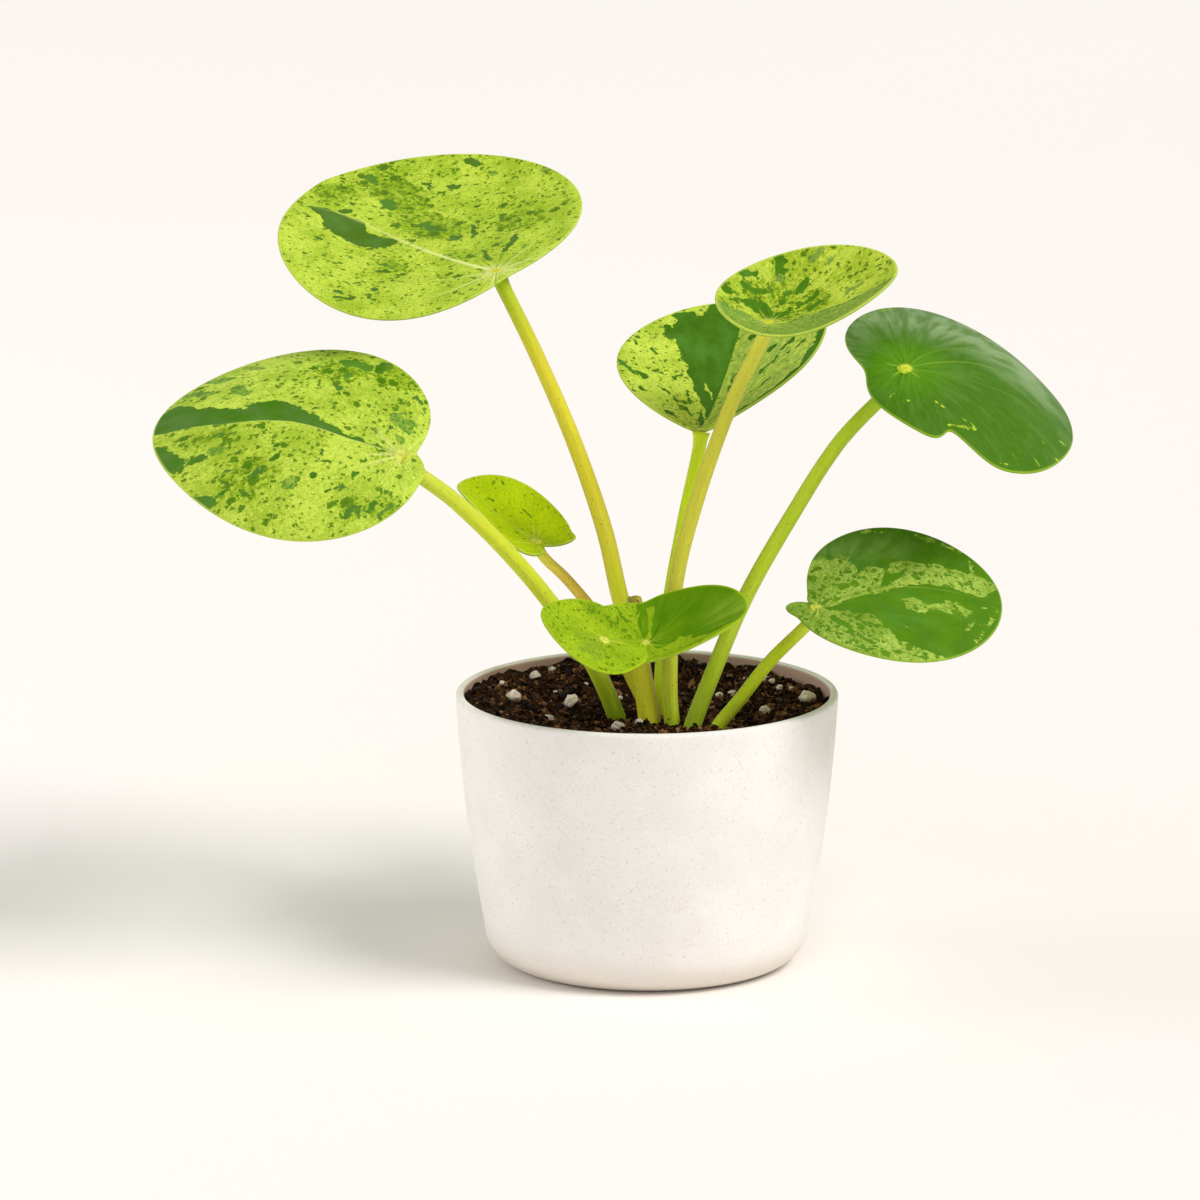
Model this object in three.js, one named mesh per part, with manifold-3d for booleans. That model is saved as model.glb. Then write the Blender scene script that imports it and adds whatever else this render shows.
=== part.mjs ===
// A variegated pilea in a round white pot: shield-shaped leaf blades on long fleshy stalks,
// a short main stem with a bud at its top, dark potting soil and white perlite grains.
// Millimetres, +Z up. The origin is the centre of the pot's flat base. -Y is the front.
import * as THREE from 'three';
import { mergeVertices } from 'three/addons/utils/BufferGeometryUtils.js';
import Module from 'manifold-3d';

const wasm = await Module();
wasm.setup();

// Pot
const POT_HEIGHT = 72;
const POT_RIM_RADIUS = 50;
const POT_WALL = 2.2;
const POT_FLOOR = 4;
const POT_TAPER = 0.051; // loss of radius per mm below the rim
const POT_BELLY = 0.0011; // further loss, per mm squared
const POT_FOOT_RADIUS = 10; // rounding between the wall and the flat base
const POT_SIDES = 44;

// Soil
const CLEARANCE = 0.3; // between pieces that touch
const SOIL_CROWN_LEVEL = 66.4; // where the plant stands
const SOIL_EDGE_RISE = 2.8; // the soil climbs this much from the crown to the wall
const SOIL_BACK_RISE = 0.5;
const SOIL_LEFT_RISE = 0.6;
const SOIL_REACH = 46;
const SOIL_RINGS = 9;
const LUMP_HEIGHT = 0.3;

// Leaves
const BLADE_THICKNESS = 0.8;
const BLADE_RINGS = [0.08, 0.32, 0.57, 0.8, 1];
const LARGE_BLADE_SPOKES = 36;
const SMALL_BLADE_SPOKES = 28;
const SMALL_BLADE_LENGTH = 24;
const FOLD_SOFTNESS = 2; // half width of a blade's fold along its midrib
const STALK_SIDES = 10;
const STALK_STEPS = 12;
const STALK_NECK = 4; // length of the stalk's last stretch, where it turns to meet the blade
const NECK_TURN = 0.28; // 0 keeps the stalk's last stretch straight, 1 sets it square to the blade

// Main stem and its bud
const STEM_SIDES = 14;
const STEM_STEPS = 10;
const STEM_ROUTE = [[0.6, -11, 50], [0.6, -11, 66], [-1.6, -9.5, 80], [-3.4, -9, 93.6]];
const STEM_FOOT_RADIUS = 3.3;
const STEM_TOP_RADIUS = 2.3;
const BUD_HEIGHT = 5.7;
const BUD_RADIUS = 2.4;

// Each blade is a plane figure round its navel, the point where the stalk meets it, then lifted.
// heading: compass direction of the tip, counterclockwise from +X. climb: slope of the midrib.
// roll: turn about the midrib. halfLength, halfWidth: of the egg-shaped outline. offset: from the
// navel to the outline's middle. egg, skew: how far the outline is from an ellipse.
// cup, saddle, twist: lift at the margin, second order. tipCurl, sideCurl, droop, arch: third
// order. fold: slope of the two halves beside the midrib. dents: notches in the margin, as
// [direction in degrees, half width in degrees, share of the radius], less than 0 for a lobe.
// stalk: the points that the stalk passes, from its foot up to its neck.
const LEAVES = [
  {
    name: 'leaf_01', navel: [-39.1, 14, 180.5], heading: 126.3, climb: 0.3, roll: -19.8,
    halfLength: 40, halfWidth: 41.9, offset: 34, egg: 0.17, skew: -0.08,
    cup: 4, saddle: 0.2, twist: 3.3, tipCurl: 0.2, sideCurl: -0.4, droop: 5.3, arch: 0.2,
    fold: -0.08,
    stalk: [[-2.3, -9.3, 83], [-4.4, -6.1, 89.5], [-7.1, -3, 97.6], [-11.2, -0.2, 115],
      [-19.3, 4.5, 138], [-29.4, 9.5, 160.7]],
    footRadius: 2.35, neckRadius: 1.85, onStem: true,
    bladeColour: 0x99b52e, stalkColour: 0xd3cb62,
  },
  {
    name: 'leaf_02', navel: [-63.5, -24, 139.5], heading: 180.6, climb: 25.2, roll: -40.9,
    halfLength: 33.2, halfWidth: 33.2, offset: 25.3, egg: 0.1, skew: -0.07,
    cup: -5.3, saddle: -0.5, twist: 0.5, tipCurl: -4.1, sideCurl: -0.8, droop: -7, arch: 0.3,
    fold: 0.02,
    dents: [[189, 13, 0.52], [179, 7, -0.18]],
    stalk: [[-5.8, -6.3, 58], [-8.1, -7, 66.9], [-14.1, -9, 81.2], [-23.7, -12, 96.3],
      [-34.3, -15, 110.2], [-50, -19, 126.9]],
    footRadius: 2.35, neckRadius: 2.0,
    bladeColour: 0xa2bf3d, stalkColour: 0xc5cf4a,
  },
  {
    name: 'leaf_03', navel: [-29, 12, 109.1], heading: 150.3, climb: 17.1, roll: -7.2,
    halfLength: 16.6, halfWidth: 15, offset: 8.6, egg: 0.08, skew: -0.03,
    cup: 4.9, saddle: -0.1, twist: 1.3, tipCurl: -1.1, sideCurl: 1, droop: 4, arch: -0.7,
    fold: -0.02,
    dents: [[177, 20, 0.63], [201, 11, -0.24]],
    stalk: [[0, -10.6, 70], [-3.6, -9.4, 76.5], [-7.6, -5, 84], [-12.3, 0, 90.9],
      [-20.8, 6, 100.3]],
    footRadius: 1.5, neckRadius: 1.35, onStem: true,
    bladeColour: 0xacc423, stalkColour: 0xcbcc50,
  },
  {
    name: 'leaf_04', navel: [14.1, 15, 138.1], heading: 76, climb: 12.4, roll: -4.4,
    halfLength: 29.8, halfWidth: 27.7, offset: 29.4, egg: 0.04, skew: -0.03,
    cup: 0.7, saddle: 2.9, twist: -0.3, tipCurl: -0.3, sideCurl: 0.9, droop: -1.5, arch: -0.9,
    fold: 0.52,
    stalk: [[3.8, -5.2, 58], [3.8, -5, 66.1], [3.6, -4.4, 75.9], [5.4, -1.5, 93.9],
      [9.6, 6.5, 116.2]],
    footRadius: 1.85, neckRadius: 1.7,
    bladeColour: 0x8eaa37, stalkColour: 0xcbca47,
  },
  {
    name: 'leaf_05', navel: [31.3, -6, 170.8], heading: 7.2, climb: -3.5, roll: 14.8,
    halfLength: 23.2, halfWidth: 21.8, offset: 8.9, egg: 0.06, skew: 0.05,
    cup: 9.8, saddle: 1.9, twist: -0.3, tipCurl: -2.1, sideCurl: 1.6, droop: 1.1, arch: -1.4,
    fold: 0.05,
    stalk: [[6.7, -13, 58], [6.4, -13.5, 66.3], [5.8, -13.5, 75.3], [7.3, -12, 102.9],
      [12.8, -10, 125], [22.1, -8, 151]],
    footRadius: 2.05, neckRadius: 1.8,
    bladeColour: 0x92b125, stalkColour: 0xcfc74e,
  },
  {
    name: 'leaf_06', navel: [66.6, -8, 159], heading: 21.7, climb: 7.3, roll: 26.5,
    halfLength: 34.5, halfWidth: 31.2, offset: 19.8, egg: 0.18, skew: 0.14,
    cup: -13, saddle: -1.6, twist: 3.6, tipCurl: -0.9, sideCurl: 0.7, droop: -6.9, arch: 0.8,
    fold: 0.13,
    dents: [[242, 10, 0.21], [172, 19, 0.32]],
    stalk: [[9.6, -17.8, 58], [11.6, -17, 66.3], [16.2, -16, 78.6], [25, -14, 99.4],
      [36.6, -12, 120.1], [50, -10, 140.8]],
    footRadius: 2.25, neckRadius: 1.8,
    bladeColour: 0x5b8438, stalkColour: 0xbdcd45,
  },
  {
    name: 'leaf_07', navel: [43.9, -26, 99.9], heading: 10.9, climb: 11.9, roll: 20,
    halfLength: 27.4, halfWidth: 25.5, offset: 21.5, egg: 0.08, skew: 0.06,
    cup: -2.3, saddle: -3.2, twist: 2.2, tipCurl: 0.7, sideCurl: 2.3, droop: -0.7, arch: -0.5,
    fold: -0.02,
    dents: [[151, 15, 0.52], [163, 6, 0.35], [173, 7, -0.4]],
    stalk: [[14, -22.6, 58], [17.8, -22, 66.9], [23.7, -22.2, 74.6], [31.9, -23, 85.5]],
    footRadius: 1.9, neckRadius: 1.55,
    bladeColour: 0x648c2c, stalkColour: 0xa5b52c,
  },
  {
    name: 'leaf_08', navel: [-11.2, -45, 95.5], heading: 186.1, climb: 23.2, roll: -22.5,
    halfLength: 15.3, halfWidth: 13.5, offset: 3, egg: 0.08, skew: 0.06,
    cup: 1, saddle: -0.3, twist: -0.6, tipCurl: 0.3, sideCurl: -1.3, droop: 1.4, arch: 1.9,
    fold: -0.07, dents: [[150, 26, 0.1]],
    stalk: [[-2.2, -9.4, 81.2], [-4.6, -14.5, 84.2], [-6.6, -25, 85.6], [-8.7, -36, 86.4],
      [-11.9, -41.7, 90.3]],
    footRadius: 1.4, neckRadius: 1.2, onStem: true,
    bladeColour: 0x98b720, stalkColour: 0xa9b82f,
  },
  {
    name: 'leaf_09', navel: [-0.4, -28.5, 91], heading: -3.8, climb: 1.5, roll: 24.3,
    halfLength: 21.2, halfWidth: 14.4, offset: 5.6, egg: 0.01, skew: 0.01,
    cup: 10.6, saddle: 1, twist: -0.5, tipCurl: -3.6, sideCurl: -0.2, droop: 3.5, arch: 0.1,
    fold: 0.04, dents: [[110, 10, 0.07]],
    stalk: [[-2.6, -9.2, 85.6], [-1.2, -14, 86.4], [-0.4, -20, 86.8]],
    footRadius: 1.5, neckRadius: 1.3, onStem: true,
    bladeColour: 0x70971f, stalkColour: 0xa9b82f,
  },
];

// Perlite grains that lie on the soil: place and size across
const GRAINS = [
  { x: -29.4, y: 27, size: 3.1 },
  { x: -35, y: 4, size: 4.2 },
  { x: -19.6, y: 2, size: 4.4 },
  { x: -25.8, y: -16.4, size: 3.4 },
  { x: -7.6, y: -22.5, size: 3.7 },
  { x: -2.2, y: -18.4, size: 2.1 },
  { x: 42, y: 5, size: 4.6 },
  { x: 30.7, y: -5.2, size: 3 },
  { x: 22.5, y: 16.2, size: 2.4 },
  { x: 31.8, y: 27, size: 2.2 },
  { x: -25, y: 35, size: 2.2 },
];
const GRAIN_SQUASH = 0.85;
const GRAIN_DENT = 0.75; // a dent in the soil is this much wider than its grain
const GRAIN_SUNK = 0.2; // share of its size by which a grain's middle is below its resting height

function finish(colour, roughness) {
  return new THREE.MeshStandardMaterial({ color: colour, roughness, metalness: 0 });
}

function solidOf(geometry) {
  const bare = geometry.clone();
  bare.deleteAttribute('normal');
  bare.deleteAttribute('uv');
  const merged = mergeVertices(bare, 1e-4);
  return new wasm.Manifold(new wasm.Mesh({
    numProp: 3,
    vertProperties: new Float32Array(merged.attributes.position.array),
    triVerts: new Uint32Array(merged.index.array),
  }));
}

function geometryOf(solid) {
  const mesh = solid.getMesh();
  const geometry = new THREE.BufferGeometry();
  geometry.setAttribute('position', new THREE.BufferAttribute(mesh.vertProperties, 3));
  geometry.setIndex(new THREE.BufferAttribute(mesh.triVerts, 1));
  geometry.computeVertexNormals();
  return geometry;
}

function closedGeometry(points, triangles) {
  const geometry = new THREE.BufferGeometry();
  const numbers = points.flatMap((point) => [point.x, point.y, point.z]);
  geometry.setAttribute('position', new THREE.Float32BufferAttribute(numbers, 3));
  geometry.setIndex(triangles);
  geometry.computeVertexNormals();
  return geometry;
}

// Pot: one turned shell with a rounded lip, a rounded foot and a flat base
function potRadius(z) {
  const drop = POT_HEIGHT - z;
  return POT_RIM_RADIUS - POT_TAPER * drop - POT_BELLY * drop * drop;
}

function potGeometry() {
  const lip = POT_WALL / 2;
  const footMiddle = potRadius(POT_FOOT_RADIUS) - POT_FOOT_RADIUS;
  const innerFoot = POT_FOOT_RADIUS - POT_WALL;
  const wallHeights = [24, 40, 56, POT_HEIGHT - lip];
  const profile = [new THREE.Vector2(0, 0)];
  for (let step = 0; step <= 5; step += 1) {
    const turn = (step / 5) * (Math.PI / 2);
    profile.push(new THREE.Vector2(
      footMiddle + POT_FOOT_RADIUS * Math.sin(turn),
      POT_FOOT_RADIUS * (1 - Math.cos(turn)),
    ));
  }
  for (const z of wallHeights) profile.push(new THREE.Vector2(potRadius(z), z));
  const lipMiddle = potRadius(POT_HEIGHT - lip) - lip;
  for (let step = 1; step < 5; step += 1) {
    const turn = (step / 5) * Math.PI;
    profile.push(new THREE.Vector2(
      lipMiddle + lip * Math.cos(turn),
      POT_HEIGHT - lip + lip * Math.sin(turn),
    ));
  }
  for (const z of [...wallHeights].reverse()) {
    profile.push(new THREE.Vector2(potRadius(z) - POT_WALL, z));
  }
  for (let step = 4; step >= 0; step -= 1) {
    const turn = (step / 4) * (Math.PI / 2);
    profile.push(new THREE.Vector2(
      footMiddle + innerFoot * Math.sin(turn),
      POT_FLOOR + innerFoot * (1 - Math.cos(turn)),
    ));
  }
  profile.push(new THREE.Vector2(0, POT_FLOOR));
  const geometry = new THREE.LatheGeometry(profile, POT_SIDES);
  geometry.rotateX(Math.PI / 2);
  return geometryOf(solidOf(geometry));
}

// Soil: fills the pot, hollow round the crown, with crumbs in low relief
function soilHeight(x, y) {
  const outward = Math.hypot(x, y) / SOIL_REACH;
  const level = SOIL_CROWN_LEVEL + SOIL_EDGE_RISE * outward * outward
    + (SOIL_BACK_RISE * y - SOIL_LEFT_RISE * x) / SOIL_REACH;
  const lumps = Math.sin(0.61 * x + 0.23 * y) + Math.sin(0.72 * y - 0.31 * x + 1.3)
    + Math.sin(1.13 * x - 0.87 * y + 0.4) * 0.7 + Math.sin(1.31 * y + 0.94 * x + 2.2) * 0.6;
  return level + LUMP_HEIGHT * lumps;
}

function innerRadius(z) {
  return potRadius(z) - POT_WALL - CLEARANCE;
}

function soilGeometry() {
  const points = [];
  const triangles = [];
  const floor = POT_FLOOR + CLEARANCE;
  const foot = POT_FOOT_RADIUS - POT_WALL;
  const footMiddle = potRadius(POT_FOOT_RADIUS) - POT_FOOT_RADIUS;
  const sideHeights = [56, 40, 24, floor + foot];
  const place = (radius, spoke, height) => {
    const turn = (spoke / POT_SIDES) * 2 * Math.PI;
    const x = radius * Math.sin(turn);
    const y = -radius * Math.cos(turn);
    points.push(new THREE.Vector3(x, y, height === null ? soilHeight(x, y) : height));
  };
  place(0, 0, null);
  for (let ring = 1; ring <= SOIL_RINGS; ring += 1) {
    const radius = innerRadius(68) * (ring / SOIL_RINGS);
    for (let spoke = 0; spoke < POT_SIDES; spoke += 1) place(radius, spoke, null);
  }
  for (const z of sideHeights) {
    const radius = z > floor + foot ? innerRadius(z) : innerRadius(POT_FOOT_RADIUS);
    for (let spoke = 0; spoke < POT_SIDES; spoke += 1) place(radius, spoke, z);
  }
  for (let step = 3; step >= 0; step -= 1) {
    const turn = (step / 4) * (Math.PI / 2);
    const radius = footMiddle - CLEARANCE + foot * Math.sin(turn);
    const z = floor + foot * (1 - Math.cos(turn));
    for (let spoke = 0; spoke < POT_SIDES; spoke += 1) place(radius, spoke, z);
  }
  place(0, 0, floor);
  const rings = (points.length - 2) / POT_SIDES;
  const at = (ring, spoke) => 1 + ring * POT_SIDES + (spoke % POT_SIDES);
  for (let spoke = 0; spoke < POT_SIDES; spoke += 1) {
    triangles.push(0, at(0, spoke), at(0, spoke + 1));
    for (let ring = 0; ring + 1 < rings; ring += 1) {
      triangles.push(at(ring, spoke), at(ring + 1, spoke), at(ring + 1, spoke + 1));
      triangles.push(at(ring, spoke), at(ring + 1, spoke + 1), at(ring, spoke + 1));
    }
    triangles.push(at(rings - 1, spoke), points.length - 1, at(rings - 1, spoke + 1));
  }
  return closedGeometry(points, triangles);
}

// Leaf blades: a closed thin shell of one outline, cupped, folded and twisted by its lift
function leafAxes(leaf) {
  const heading = THREE.MathUtils.degToRad(leaf.heading);
  const climb = THREE.MathUtils.degToRad(leaf.climb);
  const roll = THREE.MathUtils.degToRad(leaf.roll);
  const tip = new THREE.Vector3(
    Math.cos(heading) * Math.cos(climb),
    Math.sin(heading) * Math.cos(climb),
    Math.sin(climb),
  );
  const level = new THREE.Vector3(-Math.sin(heading), Math.cos(heading), 0);
  const steep = new THREE.Vector3().crossVectors(tip, level);
  const side = level.clone().multiplyScalar(Math.cos(roll)).addScaledVector(steep, Math.sin(roll));
  const normal = new THREE.Vector3().crossVectors(tip, side);
  return { tip, side, normal };
}

function dentFactor(leaf, degrees) {
  let factor = 1;
  for (const [direction, width, depth] of leaf.dents ?? []) {
    const away = Math.abs(((degrees - direction + 540) % 360) - 180) / width;
    factor -= depth * Math.exp(-away * away);
  }
  return factor;
}

function outlinePoint(leaf, degrees) {
  const turn = THREE.MathUtils.degToRad(degrees);
  const along = leaf.offset + leaf.halfLength * Math.cos(turn);
  const across = leaf.halfWidth * Math.sin(turn) * (1 - leaf.egg * Math.cos(turn))
    + (leaf.skew * along * along) / leaf.halfLength;
  const factor = dentFactor(leaf, degrees);
  return [along * factor, across * factor];
}

function bladeLift(leaf, along, across) {
  const { cup = 0, saddle = 0, twist = 0, tipCurl = 0 } = leaf;
  const { sideCurl = 0, droop = 0, arch = 0, fold = 0 } = leaf;
  const u = along / leaf.halfLength;
  const v = across / leaf.halfLength;
  return cup * (u * u + v * v) + saddle * (u * u - v * v) + 2 * twist * u * v
    + tipCurl * u ** 3 + sideCurl * v ** 3 + droop * u * v * v + arch * u * u * v
    + fold * (Math.hypot(across, FOLD_SOFTNESS) - FOLD_SOFTNESS);
}

function bladePoint(leaf, axes, along, across, offset) {
  const step = 0.05;
  const lift = bladeLift(leaf, along, across);
  const slopeAlong = (bladeLift(leaf, along + step, across) - lift) / step;
  const slopeAcross = (bladeLift(leaf, along, across + step) - lift) / step;
  const outward = axes.normal.clone()
    .addScaledVector(axes.tip, -slopeAlong)
    .addScaledVector(axes.side, -slopeAcross)
    .normalize();
  return new THREE.Vector3(...leaf.navel)
    .addScaledVector(axes.tip, along)
    .addScaledVector(axes.side, across)
    .addScaledVector(axes.normal, lift)
    .addScaledVector(outward, offset);
}

function bladeGeometry(leaf) {
  const axes = leafAxes(leaf);
  const spokes = leaf.halfLength < SMALL_BLADE_LENGTH ? SMALL_BLADE_SPOKES : LARGE_BLADE_SPOKES;
  const points = [];
  const triangles = [];
  for (const face of [1, -1]) {
    points.push(bladePoint(leaf, axes, 0, 0, (face * BLADE_THICKNESS) / 2));
    for (const share of BLADE_RINGS) {
      for (let spoke = 0; spoke < spokes; spoke += 1) {
        const [along, across] = outlinePoint(leaf, (spoke / spokes) * 360);
        points.push(bladePoint(leaf, axes, along * share, across * share, (face * BLADE_THICKNESS) / 2));
      }
    }
  }
  const faceSize = 1 + BLADE_RINGS.length * spokes;
  const at = (ring, spoke) => 1 + ring * spokes + (spoke % spokes);
  const upper = (a, b, c) => {
    triangles.push(a, b, c);
    triangles.push(faceSize + a, faceSize + c, faceSize + b);
  };
  for (let spoke = 0; spoke < spokes; spoke += 1) {
    upper(0, at(0, spoke), at(0, spoke + 1));
    for (let ring = 0; ring + 1 < BLADE_RINGS.length; ring += 1) {
      upper(at(ring, spoke), at(ring + 1, spoke), at(ring + 1, spoke + 1));
      upper(at(ring, spoke), at(ring + 1, spoke + 1), at(ring, spoke + 1));
    }
    const edge = at(BLADE_RINGS.length - 1, spoke);
    const next = at(BLADE_RINGS.length - 1, spoke + 1);
    triangles.push(edge, faceSize + edge, faceSize + next);
    triangles.push(edge, faceSize + next, next);
  }
  return closedGeometry(points, triangles);
}

// Stems and stalks: round, tapering, closed at both ends. extra makes the hole for one.
function taperedStem(route, footRadius, topRadius, sides, steps, topNormal, extra) {
  const corners = route.map((point) => new THREE.Vector3(...point));
  const curve = new THREE.CatmullRomCurve3(corners, false, 'centripetal');
  const frames = curve.computeFrenetFrames(steps, false);
  const foot = curve.getPointAt(0).addScaledVector(frames.tangents[0], -extra);
  const top = curve.getPointAt(1).addScaledVector(topNormal, extra);
  const points = [foot];
  const triangles = [];
  for (let step = 0; step <= steps; step += 1) {
    const share = step / steps;
    const middle = step === 0 ? foot : curve.getPointAt(share);
    const radius = footRadius + (topRadius - footRadius) * share + extra;
    for (let corner = 0; corner < sides; corner += 1) {
      const turn = (corner / sides) * 2 * Math.PI;
      const point = middle.clone()
        .addScaledVector(frames.normals[step], radius * Math.cos(turn))
        .addScaledVector(frames.binormals[step], radius * Math.sin(turn));
      if (step === steps) {
        const tangent = frames.tangents[step];
        const short = top.clone().sub(point).dot(topNormal) / tangent.dot(topNormal);
        point.addScaledVector(tangent, short);
      }
      points.push(point);
    }
  }
  points.push(top);
  const at = (step, corner) => 1 + step * sides + (corner % sides);
  for (let corner = 0; corner < sides; corner += 1) {
    triangles.push(0, at(0, corner + 1), at(0, corner));
    for (let step = 0; step < steps; step += 1) {
      triangles.push(at(step, corner), at(step, corner + 1), at(step + 1, corner + 1));
      triangles.push(at(step, corner), at(step + 1, corner + 1), at(step + 1, corner));
    }
    triangles.push(at(steps, corner), at(steps, corner + 1), points.length - 1);
  }
  return closedGeometry(points, triangles);
}

function mainStem(extra) {
  const upright = new THREE.Vector3(0, 0, 1);
  return taperedStem(STEM_ROUTE, STEM_FOOT_RADIUS, STEM_TOP_RADIUS, STEM_SIDES, STEM_STEPS, upright, extra);
}

function stalkGeometry(leaf, extra) {
  const { normal } = leafAxes(leaf);
  const navel = new THREE.Vector3(...leaf.navel);
  const last = new THREE.Vector3(...leaf.stalk[leaf.stalk.length - 1]);
  const approach = navel.clone().sub(last).normalize();
  const turned = approach.lerp(normal, NECK_TURN).normalize();
  const neck = navel.clone().addScaledVector(turned, -STALK_NECK);
  const end = navel.clone().addScaledVector(normal, -BLADE_THICKNESS / 2 - CLEARANCE);
  const route = [...leaf.stalk, neck.toArray(), end.toArray()];
  const geometry = taperedStem(
    route,
    leaf.footRadius,
    leaf.neckRadius,
    STALK_SIDES,
    STALK_STEPS,
    normal,
    extra,
  );
  if (!leaf.onStem) return geometry;
  const clear = solidOf(geometry).subtract(solidOf(mainStem(CLEARANCE)));
  const largest = clear.decompose().sort((a, b) => b.volume() - a.volume())[0];
  return geometryOf(largest);
}

// Growing tip: a blunt bud on the main stem's cut-off top
function budGeometry() {
  const profile = [
    new THREE.Vector2(0, 0),
    new THREE.Vector2(STEM_TOP_RADIUS * 0.9, 0),
    new THREE.Vector2(BUD_RADIUS, BUD_HEIGHT * 0.3),
    new THREE.Vector2(BUD_RADIUS * 0.97, BUD_HEIGHT * 0.75),
    new THREE.Vector2(BUD_RADIUS * 0.8, BUD_HEIGHT * 0.95),
    new THREE.Vector2(0, BUD_HEIGHT),
  ];
  const geometry = new THREE.LatheGeometry(profile, STEM_SIDES);
  geometry.rotateX(Math.PI / 2);
  return geometryOf(solidOf(geometry));
}

// Perlite: puffed, slightly flattened grains
function grainGeometry(size) {
  const geometry = new THREE.IcosahedronGeometry(size / 2, 1);
  geometry.scale(1, 1, GRAIN_SQUASH);
  return geometryOf(solidOf(geometry));
}

function grainPlace(grain) {
  return [grain.x, grain.y, soilHeight(grain.x, grain.y) + grain.size * (0.5 * GRAIN_SQUASH - GRAIN_SUNK)];
}

const plant = new THREE.Group();

function add(name, geometry, material, position) {
  const mesh = new THREE.Mesh(geometry, material);
  mesh.name = name;
  if (position) mesh.position.set(...position);
  plant.add(mesh);
}

add('pot', potGeometry(), finish(0xf0e9e0, 0.75));

let soil = solidOf(soilGeometry()).subtract(solidOf(mainStem(CLEARANCE)));
for (const leaf of LEAVES) {
  if (!leaf.onStem) soil = soil.subtract(solidOf(stalkGeometry(leaf, CLEARANCE)));
}
GRAINS.forEach((grain, index) => {
  const dent = solidOf(grainGeometry(grain.size + GRAIN_DENT));
  soil = soil.subtract(dent.translate(grainPlace(grain)));
  const name = `perlite_${String(index + 1).padStart(2, '0')}`;
  add(name, grainGeometry(grain.size), finish(0xf1ede6, 0.9), grainPlace(grain));
});
add('soil', geometryOf(soil), finish(0x3a241b, 0.95));

add('main_stem', mainStem(0), finish(0x9aac1d, 0.5));
const stemTop = STEM_ROUTE[STEM_ROUTE.length - 1];
add('growing_tip', budGeometry(), finish(0x909c12, 0.6), [stemTop[0], stemTop[1], stemTop[2] + CLEARANCE]);

for (const leaf of LEAVES) {
  add(`${leaf.name}_stalk`, stalkGeometry(leaf, 0), finish(leaf.stalkColour, 0.5));
  add(`${leaf.name}_blade`, bladeGeometry(leaf), finish(leaf.bladeColour, 0.4));
}

export default plant;
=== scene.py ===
import math
import bmesh
import bpy
import numpy as np
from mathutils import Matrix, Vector


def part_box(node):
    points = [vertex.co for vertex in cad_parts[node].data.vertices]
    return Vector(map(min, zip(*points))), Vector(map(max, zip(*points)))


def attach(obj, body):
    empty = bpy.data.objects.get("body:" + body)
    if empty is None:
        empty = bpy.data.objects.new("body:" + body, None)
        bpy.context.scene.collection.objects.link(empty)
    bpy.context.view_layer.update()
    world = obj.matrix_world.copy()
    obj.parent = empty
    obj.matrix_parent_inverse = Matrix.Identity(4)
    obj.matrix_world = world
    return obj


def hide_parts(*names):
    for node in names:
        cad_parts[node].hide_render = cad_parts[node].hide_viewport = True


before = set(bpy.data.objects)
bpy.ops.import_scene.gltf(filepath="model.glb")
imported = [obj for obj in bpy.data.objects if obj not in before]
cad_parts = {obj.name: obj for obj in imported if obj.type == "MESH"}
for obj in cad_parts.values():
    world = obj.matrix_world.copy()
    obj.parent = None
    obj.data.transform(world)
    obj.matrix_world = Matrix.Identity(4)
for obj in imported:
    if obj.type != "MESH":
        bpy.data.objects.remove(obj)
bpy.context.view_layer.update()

# Camera. A long lens stands well in front of the pot and a little above it, and looks
# 12.5 degrees down.
camera_lens = bpy.data.cameras.new("camera")
camera_lens.sensor_width = 36
camera_lens.lens = 270
camera_lens.clip_end = 60
camera = bpy.data.objects.new("camera", camera_lens)
camera.location = (-0.01227, -2.2892, 0.60375)
camera.rotation_euler = (math.radians(77.5), 0, 0)
bpy.context.scene.collection.objects.link(camera)
bpy.context.scene.camera = camera
bpy.context.scene.view_settings.view_transform = "Standard"


# Studio. The plant stands on a wide sheet of warm white paper. A large soft lamp stands to the
# right and in front, a weaker one fills in from the left, and pale walls light the rest.
def feed(tree, socket, value):
    """Links a node's output to a socket, or sets the socket to a plain value."""
    if isinstance(value, bpy.types.NodeSocket):
        tree.links.new(value, socket)
    else:
        socket.default_value = value


def add_node(tree, kind, inputs=None, **settings):
    made = tree.nodes.new(kind)
    for key, value in settings.items():
        setattr(made, key, value)
    for key, value in (inputs or {}).items():
        feed(tree, made.inputs[key], value)
    return made


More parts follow.
